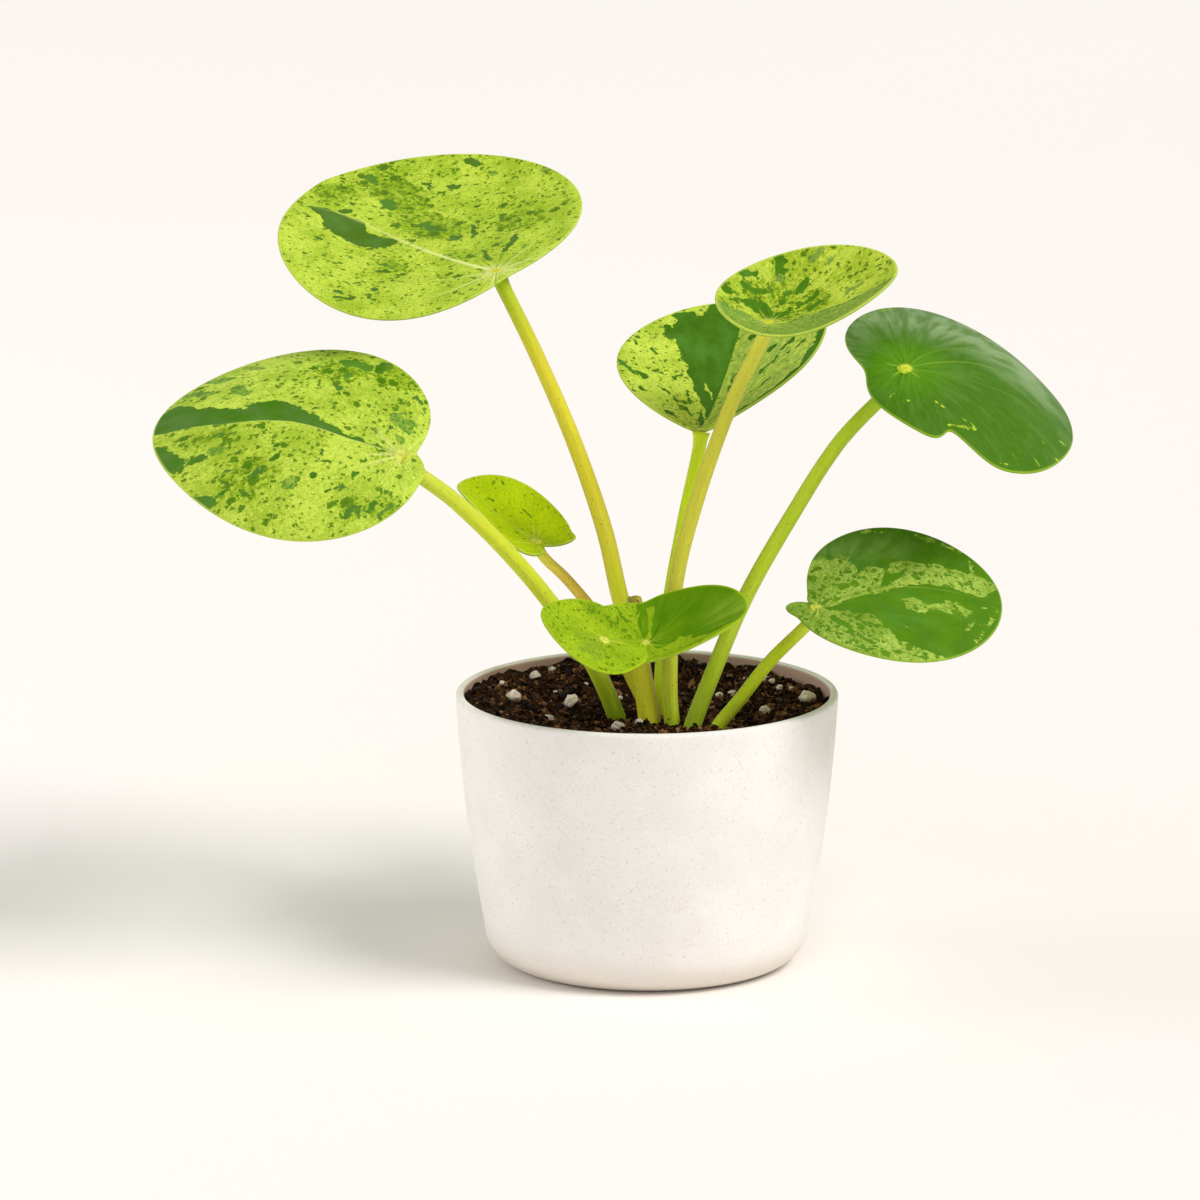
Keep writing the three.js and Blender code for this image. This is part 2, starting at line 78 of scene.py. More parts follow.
class Finish:
    """A material that is put together one node at a time on its shader."""

    def __init__(self, name, **sockets):
        self.material = bpy.data.materials.new(name)
        self.material.use_nodes = True
        self.tree = self.material.node_tree
        self.shader = self.tree.nodes["Principled BSDF"]
        self.place = self.node("ShaderNodeTexCoord").outputs["Object"]
        for socket, value in sockets.items():
            feed(self.tree, self.shader.inputs[socket.replace("_", " ")], value)

    def node(self, kind, inputs=None, **settings):
        return add_node(self.tree, kind, inputs, **settings)

    def math(self, operation, a, b=0.0, c=0.0, clamp=False):
        made = self.node("ShaderNodeMath", {0: a, 1: b, 2: c}, operation=operation)
        made.use_clamp = clamp
        return made.outputs[0]

    def add(self, a, b):
        return self.math("ADD", a, b)

    def minus(self, a, b):
        return self.math("SUBTRACT", a, b)

    def fused(self, a, b, c):
        """a times b plus c."""
        return self.math("MULTIPLY_ADD", a, b, c)

    def size(self, a):
        return self.math("ABSOLUTE", a)

    def times(self, *values):
        product = values[0]
        for value in values[1:]:
            product = self.math("MULTIPLY", product, value)
        return product

    def length(self, a, b):
        return self.math("SQRT", self.add(self.times(a, a), self.times(b, b)))

    def split(self, vector):
        return self.node("ShaderNodeSeparateXYZ", {0: vector}).outputs

    def join(self, x, y, z):
        return self.node("ShaderNodeCombineXYZ", {0: x, 1: y, 2: z}).outputs[0]

    def read(self, name, output="Vector"):
        return self.node("ShaderNodeAttribute", None, attribute_name=name).outputs[output]

    def noise(self, scale, place=None, detail=2.0, roughness=0.5):
        sockets = {"Scale": scale, "Detail": detail, "Roughness": roughness}
        made = self.node("ShaderNodeTexNoise", sockets | {"Vector": place or self.place})
        return made.outputs["Fac"]

    def ramp(self, value, low, high, out_low=0.0, out_high=1.0, soft=True):
        sockets = {0: value, 1: low, 2: high, 3: out_low, 4: out_high}
        kind = "SMOOTHSTEP" if soft else "LINEAR"
        return self.node("ShaderNodeMapRange", sockets, interpolation_type=kind).outputs[0]

    def mix(self, share, a, b):
        return self.node("ShaderNodeMix", {0: share, 6: a, 7: b}, data_type="RGBA").outputs[2]

    def voronoi(self, pitch, place):
        """Cells of the given pitch in the plane: distance to the middle in mm, random value."""
        kind = "ShaderNodeTexVoronoi"
        made = self.node(kind, {"Vector": place, "Scale": 1 / pitch}, voronoi_dimensions="2D")
        luck = self.split(made.outputs["Color"])[0]
        return self.times(made.outputs["Distance"], pitch), luck

    def bump(self, height, distance, strength=1.0):
        sockets = {"Height": height, "Distance": distance, "Strength": strength}
        bumped = self.node("ShaderNodeBump", sockets).outputs[0]
        feed(self.tree, self.shader.inputs["Normal"], bumped)

    def colour(self, value):
        feed(self.tree, self.shader.inputs["Base Color"], value)


def tint(code):
    """Linear colour of a code such as f2ebe1."""
    parts = [int(code[i : i + 2], 16) / 255 for i in (0, 2, 4)]
    return [p / 12.92 if p <= 0.04045 else ((p + 0.055) / 1.055) ** 2.4 for p in parts] + [1]


def solid(name, points, faces):
    """A new smooth object from points in millimetres."""
    mesh = bpy.data.meshes.new(name)
    mesh.from_pydata((np.asarray(points, float) / 1000).tolist(), [], faces)
    mesh.polygons.foreach_set("use_smooth", [True] * len(mesh.polygons))
    mesh.update()
    made = bpy.data.objects.new(name, mesh)
    bpy.context.scene.collection.objects.link(made)
    return made


FLOOR_REACH = 12000
paper = Finish("warm_paper", Roughness=0.95)
paper_cloud = paper.ramp(paper.noise(0.9), 0.3, 0.7)
paper.colour(paper.mix(paper_cloud, tint("faf6f1"), tint("fcf8f4")))
floor_corners = [
    (x * FLOOR_REACH, y * FLOOR_REACH, 0) for x, y in ((-1, -1), (1, -1), (1, 1), (-1, 1))
]
floor = solid("floor", floor_corners, [(0, 1, 2, 3)])
floor.data.materials.append(paper.material)

walls = bpy.data.worlds.new("pale_walls")
walls.use_nodes = True
walls.node_tree.nodes["Background"].inputs["Color"].default_value = (1, 0.99, 0.98, 1)
walls.node_tree.nodes["Background"].inputs["Strength"].default_value = 0.49
bpy.context.scene.world = walls
PLANT_MIDDLE = Vector((0, 0, 0.1))


def lamp(name, kind, place, power, colour, **settings):
    """A lamp that shines from its place towards the plant."""
    light = bpy.data.lights.new(name, kind)
    light.energy = power
    light.color = colour
    for key, value in settings.items():
        setattr(light, key, value)
    made = bpy.data.objects.new(name, light)
    made.location = place
    made.rotation_euler = (PLANT_MIDDLE - Vector(place)).to_track_quat("-Z", "Y").to_euler()
    bpy.context.scene.collection.objects.link(made)


lamp("key", "SUN", (1.56, -0.9, 2.25), 2.08, (1, 0.985, 0.965), angle=math.radians(30))
lamp("fill", "AREA", (-1.5, 0.2, 0.4), 6.5, (1, 1, 1), shape="DISK", size=0.9)

# Pot. One slip-cast earthenware vessel with a matte off-white engobe: a thin wall that swells
# from a rounded foot to a rounded lip, smooth inside, with fine beige specks in its surface.
# Sizes are in millimetres; the sockets of shaders and of geometry nodes take metres.
POT_HEIGHT = 72
POT_RIM_RADIUS = 50
POT_WALL = 2.2
POT_FLOOR = 4
POT_FOOT_ROUNDING = 10
POT_TAPER = 0.051
POT_SWELL = 0.0011
POT_SIDES = 192
INSIDE_SHADE_EDGE = (0.04812, 0.04775)  # radii in metres between which the painted shade inside the pot begins, inside the lip


def pot_radius(z):
    below = POT_HEIGHT - z
    return POT_RIM_RADIUS - POT_TAPER * below - POT_SWELL * below * below


def arc(centre_r, centre_z, radius, start, stop, steps):
    """Points of a profile's arc between two angles in degrees, without the first one."""
    turns = np.radians(np.linspace(start, stop, steps + 1)[1:])
    return [(centre_r + radius * math.cos(t), centre_z + radius * math.sin(t)) for t in turns]


def pot_profile():
    """Radius and height from the middle of the underside, over the lip, to the inner floor."""
    foot, inner_foot = POT_FOOT_ROUNDING, POT_FLOOR + POT_FOOT_ROUNDING
    lip = POT_WALL / 2
    top = POT_HEIGHT - lip
    inner_flat = pot_radius(inner_foot) - POT_WALL - foot
    profile = [(share * (pot_radius(0) - foot), 0) for share in np.linspace(0, 1, 9)]
    profile += arc(pot_radius(foot) - foot, foot, foot, -90, 0, 16)
    profile += [(pot_radius(z), z) for z in np.linspace(foot, top, 33)[1:]]
    profile += arc(pot_radius(top) - lip, top, lip, 0, 180, 14)
    profile += [(pot_radius(z) - POT_WALL, z) for z in np.linspace(top, inner_foot, 25)[1:]]
    profile += arc(inner_flat, inner_foot, foot, 0, -90, 12)
    return profile + [(share * inner_flat, POT_FLOOR) for share in np.linspace(1, 0, 9)[1:]]


def ringed(start, rings, end, top_first=False):
    """Points and faces of a closed body of stacked rings, with one point at either end."""
    sides = len(rings[0])
    points = [start, *(point for ring in rings for point in ring), end]
    last = len(points) - 1 - sides
    faces = []
    for i in range(sides):
        j = (i + 1) % sides
        faces.append((0, 1 + j, 1 + i))
        for a in range(1, last, sides):
            faces.append((a + i, a + j, a + sides + j, a + sides + i))
        faces.append((last + i, last + j, len(points) - 1))
    if top_first:
        faces = [(face[0], *face[:0:-1]) for face in faces]
    return points, faces


def lathe(profile, sides):
    """A closed body of revolution; the profile starts and ends on the axis."""
    turns = np.arange(sides) * 2 * math.pi / sides
    rings = [[(r * math.cos(t), r * math.sin(t), z) for t in turns] for r, z in profile[1:-1]]
    return ringed((0, 0, profile[0][1]), rings, (0, 0, profile[-1][1]))


clay = Finish("matte_engobe", Roughness=0.72)
clay_cloud = clay.ramp(clay.noise(55, detail=4, roughness=0.6), 0.35, 0.68)
clay_specks = clay.ramp(clay.noise(1300, detail=1), 0.665, 0.72)
clay_sand = clay.ramp(clay.noise(1700, detail=2, roughness=0.7), 0.5, 0.7, 0, 0.5)
clay_colour = clay.mix(clay_cloud, tint("f8f5f2"), tint("f2eeea"))
clay_colour = clay.mix(clay_sand, clay_colour, tint("ebe2d8"))
clay_colour = clay.mix(clay.times(clay_specks, 0.4), clay_colour, tint("cdb89d"))
clay_x, clay_y, clay_z = clay.split(clay.place)
# painted shade: the inside of the pot is tinted taupe where its wall lies in shade, and towards the
# foot the engobe is painted darker where shade falls near the floor
clay_inside_shade = clay.ramp(clay.length(clay_x, clay_y), *INSIDE_SHADE_EDGE)
clay_inside_shade = clay.times(clay_inside_shade, clay.ramp(clay_z, 0.050, 0.062))
clay_colour = clay.mix(clay_inside_shade, clay_colour, tint("c4a292"))
# painted shade: darker towards the foot
clay_colour = clay.mix(clay.ramp(clay_z, 0.014, 0.0), clay_colour, tint("e6ddd0"))
clay.colour(clay_colour)
clay.bump(clay.fused(clay.noise(300, detail=2), 0.6, clay.noise(1100, detail=2)), 0.00009)
pot = solid("pot_glazed", *lathe(pot_profile(), POT_SIDES))
pot.data.materials.append(clay.material)
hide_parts("pot")
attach(pot, "root")

# Soil. Dark, damp potting mix that fills the pot to a few millimetres below its rim: a lumpy
# bed with a hollow in front of the crown of the plant and a dent under each grain of perlite.
SOIL_CROWN_LEVEL = 66.4
SOIL_EDGE_RISE = 2.8
SOIL_BACK_RISE = 0.5
SOIL_LEFT_RISE = 0.6
SOIL_REACH = 46
SOIL_LUMP = 0.3
SOIL_WAVES = (
    (1, 0.61, 0.23, 0), (1, -0.31, 0.72, 1.3), (0.7, 1.13, -0.87, 0.4), (0.6, 0.94, 1.31, 2.2),
)
SOIL_SIDES = 300
SOIL_RINGS = 60
SOIL_GAP = 0.05
SOIL_RIM_LEVEL = 68.5
SOIL_FOOT_LEVEL = 58
SOIL_SEED = 11
ROUGHNESS_MEAN = 2.5
HOLLOW_PLACE = (9, -17)
HOLLOW_SIZE = (7, 6)
HOLLOW_DEPTH = 1.9
DENT_DEPTH = 0.25
DENT_REACH = 0.6
GRAIN_COUNT = 11


def soil_height(x, y):
    rise = SOIL_EDGE_RISE * (x * x + y * y) / SOIL_REACH**2
    tilt = (SOIL_BACK_RISE * y - SOIL_LEFT_RISE * x) / SOIL_REACH
    lump = sum(high * np.sin(a * x + b * y + shift) for high, a, b, shift in SOIL_WAVES)
    return SOIL_CROWN_LEVEL + rise + tilt + SOIL_LUMP * lump


def value_noise(x, y, cell, seed):
    """Smooth noise from 0 to 1 with cells of the given size."""
    count, shift = 64, 900  # the shift keeps the numbers of the cells above zero
    table = np.random.default_rng(seed).random((count, count))
    u, v = np.asarray(x) / cell + shift, np.asarray(y) / cell + shift
    i, j = np.floor(u).astype(int), np.floor(v).astype(int)
    u, v = u - i, v - j
    u, v = u * u * (3 - 2 * u), v * v * (3 - 2 * v)

    def corner(a, b):
        return table[(i + a) % count, (j + b) % count]

    low = corner(0, 0) * (1 - u) + corner(1, 0) * u
    high = corner(0, 1) * (1 - u) + corner(1, 1) * u
    return low * (1 - v) + high * v


# middle and breadth of each larger grain of perlite
grain_spots = []
for number in range(1, GRAIN_COUNT + 1):
    low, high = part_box(f"perlite_{number:02d}")
    middle = [500 * (low[0] + high[0]), 500 * (low[1] + high[1])]
    grain_spots.append([*middle, 1000 * (high[0] - low[0])])


def crumbled_height(x, y):
    """Height of the soil with its crumbled surface, its hollow and its dents."""
    broad = 2.2 * value_noise(x, y, 5.3, SOIL_SEED + 3) + 1.2 * value_noise(x, y, 2.6, SOIL_SEED)
    fine = 0.9 * value_noise(x, y, 1.3, SOIL_SEED + 1)
    fine = fine + 0.5 * value_noise(x, y, 0.75, SOIL_SEED + 2)
    u, v = (x - HOLLOW_PLACE[0]) / HOLLOW_SIZE[0], (y - HOLLOW_PLACE[1]) / HOLLOW_SIZE[1]
    hollow = HOLLOW_DEPTH * np.exp(-(u**2 + v**2))
    for a, b, size in grain_spots:
        off = ((x - a) ** 2 + (y - b) ** 2) / (DENT_REACH * size) ** 2
        hollow = hollow + DENT_DEPTH * size * np.exp(-off)
    return soil_height(x, y) + (broad + fine) - hollow - ROUGHNESS_MEAN


def soil_bed():
    turns = np.arange(SOIL_SIDES) * 2 * math.pi / SOIL_SIDES
    rim, foot = (pot_radius(z) - POT_WALL - SOIL_GAP for z in (SOIL_RIM_LEVEL, SOIL_FOOT_LEVEL))
    rings = []
    for r in rim * (np.arange(1, SOIL_RINGS + 1) / SOIL_RINGS):
        x, y = r * np.cos(turns), r * np.sin(turns)
        rings.append(list(zip(x, y, crumbled_height(x, y))))
    for r in (foot, foot * 0.5):
        level = [SOIL_FOOT_LEVEL] * SOIL_SIDES
        rings.append(list(zip(r * np.cos(turns), r * np.sin(turns), level)))
    crown = (0, 0, float(crumbled_height(0.0, 0.0)))
    return ringed(crown, rings, (0, 0, SOIL_FOOT_LEVEL), top_first=True)


peat = Finish("damp_potting_soil", Roughness=0.9, Specular_IOR_Level=0.1)
peat_tone = peat.ramp(peat.noise(420, detail=3), 0.35, 0.7)
peat.colour(peat.mix(peat_tone, tint("0c0502"), tint("432815")))
peat.bump(peat.noise(900, detail=3), 0.0006)
bed = solid("soil_bed", *soil_bed())
bed.data.materials.append(peat.material)
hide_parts("soil")
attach(bed, "root")

# Loose soil. Crumbs of peat, chips of bark and curled root fibres lie scattered over the bed,
# clear of the larger grains; each has its own tone, from black-brown to reddish brown.
CRUMB_REACH = 45.3
SHEET_STEPS = 121
FULL_TURN = 6.283
GRAIN_CLEARANCE = 0.52


def crumb_finish(name, tones, roughness):
    """Earthy tones, one for each crumb, by its own random value."""
    deep, middle, pale = (tint(tone) for tone in tones)
    earth = Finish(name, Roughness=roughness, Specular_IOR_Level=0.1)
    luck = earth.read("crumb_luck", "Fac")
    colour = earth.mix(earth.ramp(luck, 0.2, 0.6, soft=False), deep, middle)
    colour = earth.mix(earth.ramp(luck, 0.72, 1.0, soft=False), colour, pale)
    grain = earth.noise(1600, detail=2)
    earth.colour(earth.mix(earth.ramp(grain, 0.4, 0.75, 0, 0.5), colour, middle))
    earth.bump(grain, 0.0003)
    return earth.material


def scatter_tree(name, fibres):
    """Geometry nodes that scatter crumbs or fibres over a sheet of faces."""
    tree = bpy.data.node_groups.new(name, "GeometryNodeTree")
    sockets = {"Ground": "Geometry", "Spacing": "Float", "Density": "Float", "Smallest": "Float",
        "Largest": "Float", "Roughening": "Float", "Seed": "Int", "Finish": "Material"}
    for label, kind in sockets.items():
        tree.interface.new_socket(name=label, in_out="INPUT", socket_type="NodeSocket" + kind)
    tree.interface.new_socket(name="Loose", in_out="OUTPUT", socket_type="NodeSocketGeometry")

    def node(kind, inputs=None, **settings):
        return add_node(tree, kind, inputs, **settings)

    def luck(low, high, shift, kind="FLOAT"):
        """A random value or vector between two limits, one for each point."""
        seed = node("ShaderNodeMath", {0: entry["Seed"], 1: shift}).outputs[0]
        least, most, result = {"FLOAT": (2, 3, 1), "FLOAT_VECTOR": (0, 1, 0)}[kind]
        limits = {least: low, most: high, "Seed": seed}
        return node("FunctionNodeRandomValue", limits, data_type=kind).outputs[result]

    entry = node("NodeGroupInput").outputs
    spread = node("GeometryNodeDistributePointsOnFaces", {"Mesh": entry["Ground"],
        "Distance Min": entry["Spacing"], "Density Max": entry["Density"],
        "Seed": entry["Seed"]}, distribute_method="POISSON")
    if fibres:
        arch = node("GeometryNodeCurveQuadraticBezier", {"Resolution": 7,
            "Start": (-0.5, 0, 0.05), "Middle": (0.1, 0.75, 0.25), "End": (0.55, -0.1, 0.1)})
        ring = node("GeometryNodeCurvePrimitiveCircle", {"Resolution": 4, "Radius": 0.035})
        shape = node("GeometryNodeCurveToMesh", {"Curve": arch.outputs[0],
            "Profile Curve": ring.outputs[0], "Fill Caps": True}).outputs[0]
        turn = luck((-0.5, -0.5, 0), (0.5, 0.5, FULL_TURN), 3, "FLOAT_VECTOR")
    else:
        shape = node("GeometryNodeMeshCube", {"Size": (1, 1, 0.8), "Vertices X": 3,
            "Vertices Y": 3, "Vertices Z": 3}).outputs[0]
        turn = luck((0, 0, 0), (FULL_TURN, FULL_TURN, FULL_TURN), 3, "FLOAT_VECTOR")
    placed = node("GeometryNodeInstanceOnPoints", {"Points": spread.outputs[0],
        "Instance": shape, "Rotation": turn})
    # many small ones and few large ones
    power = node("ShaderNodeMath", {0: luck(0.0, 1.0, 5), 1: 2.6}, operation="POWER").outputs[0]
    size = node("ShaderNodeMapRange", {0: power, 3: entry["Smallest"], 4: entry["Largest"]})
    form = node("ShaderNodeVectorMath", {0: luck((0.7, 0.6, 0.45), (1.3, 1.1, 1), 7,
        "FLOAT_VECTOR"), 3: size.outputs[0]}, operation="SCALE")
    sized = node("GeometryNodeScaleInstances", {"Instances": placed.outputs[0],
        "Scale": form.outputs[0]})
    toned = node("GeometryNodeStoreNamedAttribute", {0: sized.outputs[0], "Name": "crumb_luck",
        "Value": luck(0.0, 1.0, 9)}, data_type="FLOAT", domain="INSTANCE")
    real = node("GeometryNodeRealizeInstances", {0: toned.outputs[0]})
    bumps = node("ShaderNodeTexNoise", {"Vector": node("GeometryNodeInputPosition").outputs[0],
        "Scale": 900.0, "Detail": 2.5})
    centred = node("ShaderNodeVectorMath", {0: bumps.outputs["Color"], 1: (0.5, 0.5, 0.5)},
        operation="SUBTRACT")
    offset = node("ShaderNodeVectorMath", {0: centred.outputs[0], 3: entry["Roughening"]},
        operation="SCALE")
    rough = node("GeometryNodeSetPosition", {0: real.outputs[0], "Offset": offset.outputs[0]})
    shaded = node("GeometryNodeSetShadeSmooth", {0: rough.outputs[0], "Shade Smooth": fibres})
    done = node("GeometryNodeSetMaterial", {0: shaded.outputs[0], "Material": entry["Finish"]})
    node("NodeGroupOutput", {0: done.outputs[0]})
    return tree


def bed_sheet(name, lift):
    """The open top of the bed, for scattering on."""
    steps = np.linspace(-CRUMB_REACH, CRUMB_REACH, SHEET_STEPS)
    x, y = np.meshgrid(steps, steps, indexing="ij")
    points = np.stack([x, y, crumbled_height(x, y) + lift], -1).reshape(-1, 3)
    free = np.hypot(x, y) < CRUMB_REACH
    for a, b, size in grain_spots:
        free &= np.hypot(x - a, y - b) > GRAIN_CLEARANCE * size
    faces = []
    for i in range(SHEET_STEPS - 1):
        for j in range(SHEET_STEPS - 1):
            if free[i : i + 2, j : j + 2].all():
                a = i * SHEET_STEPS + j
                faces.append((a, a + SHEET_STEPS, a + SHEET_STEPS + 1, a + 1))
    return solid(name, points, faces)


def scatter(name, tree, lift, **amounts):
    """Runs a scattering tree on the bed and keeps its result as a plain mesh."""
    ground = bed_sheet(name + "_ground", lift)
    run = ground.modifiers.new("scatter", "NODES")
    run.node_group = tree
    for item in tree.interface.items_tree:
        if item.in_out == "INPUT" and item.name in amounts:
            run[item.identifier] = amounts[item.name]
    bpy.context.view_layer.update()
    evaluated = ground.evaluated_get(bpy.context.evaluated_depsgraph_get())
    mesh = bpy.data.meshes.new_from_object(evaluated)
    ground.modifiers.remove(run)
    bpy.data.objects.remove(ground)
    mesh.name = name
    piece = bpy.data.objects.new(name, mesh)
    bpy.context.scene.collection.objects.link(piece)
    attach(piece, "root")


crumbs = scatter_tree("crumbs", False)
curls = scatter_tree("curls", True)
peat_crumb = crumb_finish("peat_crumb", ("0a0402", "4c2e16", "a87850"), 0.6)
root_fibre = crumb_finish("root_fibre", ("6a3c24", "8a5534", "b98a63"), 0.6)
scatter("soil_crumbs_fine", crumbs, 0.1, Spacing=0.00095, Density=1.1e6, Smallest=0.0005,
    Largest=0.0015, Roughening=0.0007, Seed=3, Finish=peat_crumb)
scatter("soil_crumbs_coarse", crumbs, 0.3, Spacing=0.002, Density=1.6e5, Smallest=0.001,
    Largest=0.0027, Roughening=0.0026, Seed=8, Finish=peat_crumb)
scatter("root_fibres", curls, 0.7, Spacing=0.003, Density=6e4, Smallest=0.0015,
    Largest=0.0045, Roughening=0.0012, Seed=5, Finish=root_fibre)

# Perlite. White volcanic glass, puffed by heat to light, angular, pitted grains that lie in the
# soil; eleven larger ones, each where its solid is, and small ones between them.
GRAIN_FACETS = 16
GRAIN_CUTS = (0.9, 1.06)
GRAIN_PITS = ((9, 0.12), (40, -0.13))  # nine broad pits, and forty small knobs
GRAIN_SEED = 40
SMALL_GRAIN_SEED = 90
SMALL_GRAIN_SEAT = 0.45
SMALL_GRAIN_FORM = (1, 0.9, 0.85)
SMALL_GRAINS = [
    (12.5, 8, 1.9), (9.8, 14, 1.5), (19, 11.5, 2.1), (24, -4, 1.3), (-7, 11, 1.6), (-9, 16, 1.1),
    (-5, -3, 1.2), (13, -12, 1.4), (-31, -9, 1.4), (35, 17, 2.0), (38, 13, 1.5), (33, 21, 1.7),
    (-16, 26, 1.4), (-24, 14, 1.2), (26, 26, 1.3), (20, -13, 1.1), (15, 22, 1.6),
    (-12, -14, 1.0), (5, 30, 1.8), (-38, 16, 1.5),
]


def puffed_grain(centre, size, seed):
    """Points and faces of one grain: a ball cut to chance facets, then pitted."""
    chance = np.random.default_rng(seed)

    def ways(count):
        """Chance directions."""
        found = chance.normal(size=(count, 3))
        return found / np.linalg.norm(found, axis=1, keepdims=True)

    ball = bmesh.new()
    bmesh.ops.create_icosphere(ball, subdivisions=4, radius=1)
    sphere = np.array([v.co for v in ball.verts])
    faces = [tuple(v.index for v in f.verts) for f in ball.faces]
    ball.free()
    facets = ways(GRAIN_FACETS)
    cuts = chance.uniform(*GRAIN_CUTS, GRAIN_FACETS)
    reach = 1 / np.maximum(sphere @ facets.T / cuts, 1e-3).max(1)
    reach = np.minimum(reach, 1.15)
    for count, depth in GRAIN_PITS:
        reach = reach - depth * np.exp(-((1 - sphere @ ways(count).T) * count)).max(1)
    shape = sphere * reach[:, None]
    low, high = shape.min(0), shape.max(0)
    return np.array(centre) + (shape - (low + high) / 2) / (high - low) * np.array(size), faces


def gather(bodies):
    """Points and faces of several bodies in one."""
    points, faces = [], []
    for more, corners in bodies:
        faces += [tuple(len(points) + k for k in corner) for corner in corners]
        points += list(more)
    return points, faces


def box_mm(node):
    """The low and the high corner of a solid's box in millimetres."""
    return (np.array(corner) * 1000 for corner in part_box(node))


perlite = Finish("puffed_perlite", Roughness=0.8)
pits = perlite.noise(1500, detail=3, roughness=0.6)
# painted shade: the pits of the bump are tinted darker and the raised parts paler
perlite.colour(perlite.mix(perlite.ramp(pits, 0.3, 0.55), tint("d8bca8"), tint("fff1e8")))
perlite.bump(pits, 0.0006)
for number in range(1, GRAIN_COUNT + 1):
    low, high = box_mm(f"perlite_{number:02d}")
    body = puffed_grain((low + high) / 2, high - low, GRAIN_SEED + number)
    grain = solid(f"perlite_{number:02d}_grain", *body)
    grain.data.materials.append(perlite.material)
    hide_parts(f"perlite_{number:02d}")
    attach(grain, "root")
small_grains = []
for number, (x, y, size) in enumerate(SMALL_GRAINS):
    centre = (x, y, float(crumbled_height(x, y)) + SMALL_GRAIN_SEAT * size)
    form = [size * share for share in SMALL_GRAIN_FORM]
    small_grains.append(puffed_grain(centre, form, SMALL_GRAIN_SEED + number))
grit = solid("perlite_grit", *gather(small_grains))
grit.data.materials.append(perlite.material)
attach(grit, "root")

# Main stem. One short, thick, fleshy stem, a little ridged, with streaked yellow-green skin. It
# stands in the soil and tapers upwards; four of the stalks grow out of it.
STEM_ROUTE = [(0.6, -11, 50), (0.6, -11, 66), (-1.6, -9.5, 80), (-3.4, -9, 93.6)]
STEM_FOOT_RADIUS = 3.3
STEM_TOP_RADIUS = 2.3
STEM_RIDGES = 7
STEM_RIDGE_DEPTH = 0.03
STEM_STEP = 1.2
RIDGE_TWIST = 1.5


def smooth_route(points, step):
    """Centripetal Catmull-Rom curve through the points, cut into pieces of about step mm."""
    p = [Vector(q) for q in points]
    p = [p[0] * 2 - p[1]] + p + [p[-1] * 2 - p[-2]]
    route = []
    for a, b, c, d in zip(p, p[1:], p[2:], p[3:]):
        t1 = (b - a).length ** 0.5
        t2 = t1 + (c - b).length ** 0.5
        t3 = t2 + (d - c).length ** 0.5
        count = max(2, round((c - b).length / step))
        for k in range(count):
            t = t1 + (t2 - t1) * k / count
            ab = a.lerp(b, t / t1)
            bc = b.lerp(c, (t - t1) / (t2 - t1))
            cd = c.lerp(d, (t - t2) / (t3 - t2))
            abc = ab.lerp(bc, t / t2)
            bcd = bc.lerp(cd, (t - t1) / (t3 - t1))
            route.append(abc.lerp(bcd, (t - t1) / (t2 - t1)))
    route.append(p[-2])
    return route


def fleshy_rod(name, route, radius_at, ridges, ridge_depth, sides=28):
    """A closed rod along the route; radius_at takes the share of its length from the foot."""
    lengths = [0.0]
    for a, b in zip(route, route[1:]):
        lengths.append(lengths[-1] + (b - a).length)
    side = Vector((1, 0, 0))
    rings, places = [], [(1, 0, 0)]
    for k, centre in enumerate(route):
        ahead = route[min(k + 1, len(route) - 1)] - route[max(k - 1, 0)]
        ahead.normalize()
        side = (side - ahead * side.dot(ahead)).normalized()
        other = ahead.cross(side)
        share = lengths[k] / lengths[-1]
        ring = []
        for i in range(sides):
            turn = 2 * math.pi * i / sides
            r = radius_at(share) * (1 + ridge_depth * math.cos(ridges * turn + RIDGE_TWIST * share))
            point = centre + side * (r * math.cos(turn)) + other * (r * math.sin(turn))
            ring.append(tuple(point))
            places.append((math.cos(turn), math.sin(turn), share))
        rings.append(ring)
    made = solid(name, *ringed(tuple(route[0]), rings, tuple(route[-1])))
    where = made.data.attributes.new("stalk_place", "FLOAT_VECTOR", "POINT")
    where.data.foreach_set("vector", np.array([*places, (1, 0, 1)]).ravel())
    return made


def stalk_finish(name, foot, middle, top, edge, edges=(0.5, 0.5)):
    """Fleshy skin: fine streaks along the stalk, warm edges left and right, pale streaks of painted
    highlight.
    """
    skin = Finish(name, Roughness=0.4, Specular_IOR_Level=0.12)
    where = skin.read("stalk_place")
    right, _, share = skin.split(where)
    colour = skin.mix(skin.ramp(share, 0.0, 0.35), tint(foot), tint(middle))
    colour = skin.mix(skin.ramp(share, 0.72, 1.0), colour, tint(top))
    stretch = skin.node("ShaderNodeMapping", {"Vector": where, "Scale": (4, 4, 3)}).outputs[0]
    streak = skin.noise(1.7, stretch, detail=3, roughness=0.6)
    colour = skin.mix(skin.ramp(streak, 0.53, 0.75, 0, 0.3), colour, tint(edge))
    # painted highlight: pale streaks along the stalk
    colour = skin.mix(skin.ramp(streak, 0.46, 0.32, 0, 0.4), colour, tint("eaec6c"))
    fade = skin.ramp(streak, 0.3, 0.6, 0.45, 1)
    for way, amount in zip((-1, 1), edges):
        side = skin.ramp(skin.times(right, way), 0.72, 0.97, 0, amount)
        colour = skin.mix(skin.times(side, fade), colour, tint(edge))
    speck = skin.ramp(skin.noise(1100, detail=1), 0.68, 0.73, 0, 0.35)
    skin.colour(skin.mix(speck, colour, tint("8a6a2c")))
    skin.bump(streak, 0.0004)
    return skin.material


def stem_radius(share):
    return STEM_FOOT_RADIUS + (STEM_TOP_RADIUS - STEM_FOOT_RADIUS) * share


stem_route = smooth_route(STEM_ROUTE, STEM_STEP)
stem = fleshy_rod("main_stem_flesh", stem_route, stem_radius, STEM_RIDGES, STEM_RIDGE_DEPTH)
